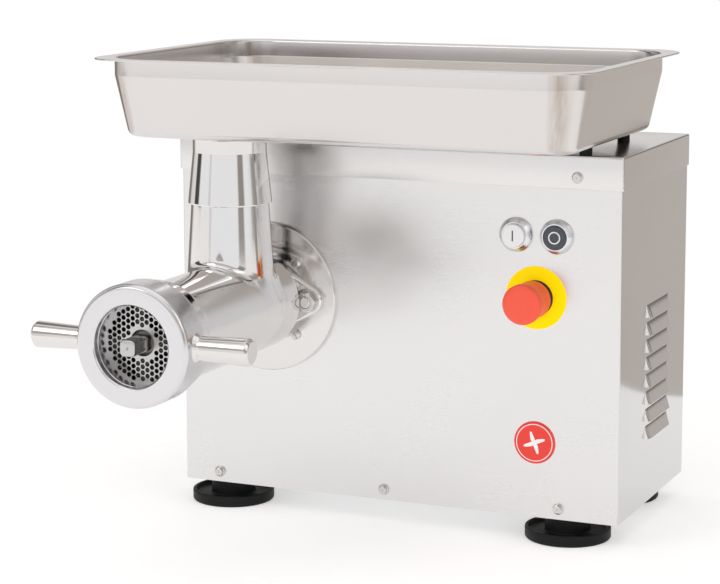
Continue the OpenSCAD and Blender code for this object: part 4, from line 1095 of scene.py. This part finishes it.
def tray():
    """A pan drawn from one sheet: sloped walls, an upright band and an outward rim."""
    low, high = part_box("tray_pan")
    length, width = (high.x - low.x) / MM, (high.y - low.y) / MM
    tall = (high.z - low.z) / MM
    centre = foot_of(low, high)
    rim, band, foot, wall, floor_edge = 12, 17, 23.8, 1.5, 70
    rim_corner, wall_corner, foot_h = 39.5, 46, 4.5
    lean = (foot - rim) / (tall - band - foot_h)
    end = foot + lean * foot_h
    path = outline([
        (0, tall, 0.5), (0, tall - wall, 0.5), (rim, tall - wall, 1.6), (rim, tall - band, 8),
        (end, 0, 8), (floor_edge, 0), (floor_edge, wall), (end + wall, wall, 6.6),
        (rim + wall, tall - band, 7), (rim + wall, tall, 2.6),
    ], 7)
    rings = []
    for inset, z in path:
        corner = rim_corner if inset < rim - 1 else wall_corner + rim
        flat = rounded_ring(length - 2 * inset, width - 2 * inset, max(corner - inset, 8), 14)
        rings.append(placed(at_height(flat, z), "up", centre))
    points, faces = loft(rings)
    cols = len(rings[0])
    at = [i for i, (inset, z) in enumerate(path) if inset == floor_edge]
    faces = [f for f in faces if {i // cols for i in f} != set(at)]
    faces.append(tuple(at[0] * cols + j for j in range(cols)))
    faces.append(tuple(at[1] * cols + j for j in reversed(range(cols))))
    pan = piece("feed_tray", (points, faces), "tray", "satin_tray", M["tray"], "tray_pan", sharp=28)
    throat = lathe(
        [(0, -5), (35, -5), (35, 6), (0, 6)], "up", (HEAD_X, NECK_Y, low.z), 96)
    carve(pan, throat, sharp=28)


def tray_spout():
    """The collar and skirt under the pan, with the tube that stands in the neck's throat."""
    low, high = SPOUT
    tall = (high.z - low.z) / MM
    top = tall - 2
    skirt = 49
    shape = turned([
        (37.5, 0, 0.5), (40, 0, 0.9), (39.9, 1.6, 2), (35, skirt, 6), (35, top - 2.4),
        (36.6, top - 1.6, 0.6), (37, top, 0.5), (36, tall, 0.6), (27, tall, 0.8),
        (26, top + 1, 0.6), (26, top - 7, 0.5), (32.5, top - 7, 0.5), (32.5, skirt),
    ], "up", (HEAD_X, NECK_Y, low.z), 128, 6)
    piece("tray_spout_tube", shape, "tray", "polished_head", M["cast"], "tray_spout", sharp=35)


# ---------- stage ----------

def studio():
    """A plain pale floor and three soft lamps."""
    bpy.ops.mesh.primitive_plane_add(size=1, location=(0, -2.11, 0))
    floor = bpy.context.object
    floor.name = "floor"
    floor.scale = (12, 5.58, 1)
    mat, _, shader = nodes_of("pale_floor")
    shader.inputs["Base Color"].default_value = (0.86, 0.86, 0.86, 1)
    shader.inputs["Roughness"].default_value = 0.9
    shader.inputs["Specular IOR Level"].default_value = 0.1
    shader.inputs["Emission Color"].default_value = (1, 1, 1, 1)
    shader.inputs["Emission Strength"].default_value = 0.4
    floor.data.materials.append(mat)
    for name, where, size, power in (
        ("key_softbox", (-1.6, -2.2, 2.4), (1.6, 1.2), 11),
        ("fill_softbox", (2.2, -1.2, 1.8), (1.2, 1.6), 5),
        ("top_softbox", (0.0, 0.1, 2.6), (2.4, 2.0), 4),
    ):
        data = bpy.data.lights.new(name, "AREA")
        data.shape = "RECTANGLE"
        data.size, data.size_y = size
        data.energy = power
        lamp = bpy.data.objects.new(name, data)
        bpy.context.scene.collection.objects.link(lamp)
        lamp.location = where
        aim = Vector((0, 0, 0.25)) - Vector(where)
        lamp.rotation_euler = aim.to_track_quat("-Z", "Y").to_euler()


def room():
    """Soft room light: bright in front, warm grey behind, with a few narrow dark flags."""
    world = bpy.data.worlds.new("soft_room")
    bpy.context.scene.world = world
    world.use_nodes = True
    tree = world.node_tree
    tree.nodes.clear()

    def calc(kind, *values):
        return math_node(tree, kind, *values)

    def ramp(value, start, end, low, high):
        return spread(tree, value, low, high, start, end, "SMOOTHSTEP")

    x, y, z = parts_of(tree, "ShaderNodeTexCoord", "Generated")
    heading = calc("ARCTAN2", x, calc("MULTIPLY", y, -1.0))
    back = ramp(x, -0.3, 0.1, 0.8, 0.6)
    level = calc("MULTIPLY_ADD", ramp(y, -0.25, 0.35, 1.0, 0.0), calc("SUBTRACT", 0.97, back), back)
    # Upright flags: heading and half width in degrees, and how much light is left
    for degrees, half, dark in (
        (58, 8, 0.35), (-79, 9, 0.08), (-33, 3, 0.8), (104, 12, 0.55), (-128, 14, 0.3),
    ):
        off = calc("ABSOLUTE", calc("SUBTRACT", heading, math.radians(degrees)))
        strip = ramp(off, math.radians(half * 0.7), math.radians(half * 1.4), dark, 1.0)
        level = calc("MULTIPLY", level, strip)
    # A low screen behind, to the right
    screen = calc("MULTIPLY", ramp(heading, 2.2, 2.5, 0.0, 1.0), ramp(z, 0.04, 0.12, 0.0, 1.0))
    screen = calc("MULTIPLY", screen, ramp(z, 0.28, 0.42, 1.0, 0.0))
    level = calc("MULTIPLY", level, calc("MULTIPLY_ADD", screen, -0.65, 1.0))
    # A darker band across the room in front, and light from the ceiling
    beam = calc("MULTIPLY", ramp(z, 0.2, 0.32, 0.0, 1.0), ramp(z, 0.55, 0.75, 1.0, 0.0))
    beam = calc("MULTIPLY", beam, ramp(y, -0.5, -0.2, 1.0, 0.0))
    level = calc("MULTIPLY", level, calc("MULTIPLY_ADD", beam, -0.38, 1.0))
    level = calc("MAXIMUM", level, ramp(z, 0.75, 0.95, 0.0, 0.85))
    warm = tree.nodes.new("ShaderNodeMix")
    warm.data_type = "RGBA"
    warm.inputs["A"].default_value = (1.0, 0.92, 0.85, 1)
    warm.inputs["B"].default_value = (1.0, 1.0, 1.01, 1)
    tree.links.new(ramp(level, 0.55, 0.95, 0.0, 1.0), warm.inputs["Factor"])
    soft = tree.nodes.new("ShaderNodeBackground")
    tree.links.new(warm.outputs["Result"], soft.inputs["Color"])
    tree.links.new(level, soft.inputs["Strength"])
    plain = tree.nodes.new("ShaderNodeBackground")
    plain.inputs["Color"].default_value = (1, 1, 1, 1)
    seen = tree.nodes.new("ShaderNodeLightPath")
    mix = tree.nodes.new("ShaderNodeMixShader")
    out = tree.nodes.new("ShaderNodeOutputWorld")
    tree.links.new(seen.outputs["Is Camera Ray"], mix.inputs["Fac"])
    tree.links.new(soft.outputs["Background"], mix.inputs[1])
    tree.links.new(plain.outputs["Background"], mix.inputs[2])
    tree.links.new(mix.outputs["Shader"], out.inputs["Surface"])


def camera():
    """The photograph's viewpoint: to the right of the front and a little above."""
    data = bpy.data.cameras.new("camera")
    data.lens, data.sensor_width = 112.9, 36
    data.shift_y = -0.1
    cam = bpy.data.objects.new("camera", data)
    bpy.context.scene.collection.objects.link(cam)
    cam.location = (0.8397, -1.9642, 0.6169)
    turn, rise, roll = (math.radians(a) for a in (23.566, 8.322, 0.116))
    cam.rotation_euler = (math.pi / 2 - rise, roll, turn)
    bpy.context.scene.camera = cam
    bpy.context.scene.view_settings.view_transform = "Standard"


camera()
studio()
room()
housing_panels()
lid()
cover_screws()
rubber_feet()
push_buttons()
emergency_stop()
badge()
head_casting()
mounting_disc()
disc_screws()
studs_and_nuts()
ring_nut()
worm_stud()
worm()
tray()
tray_spout()

bpy.context.view_layer.update()
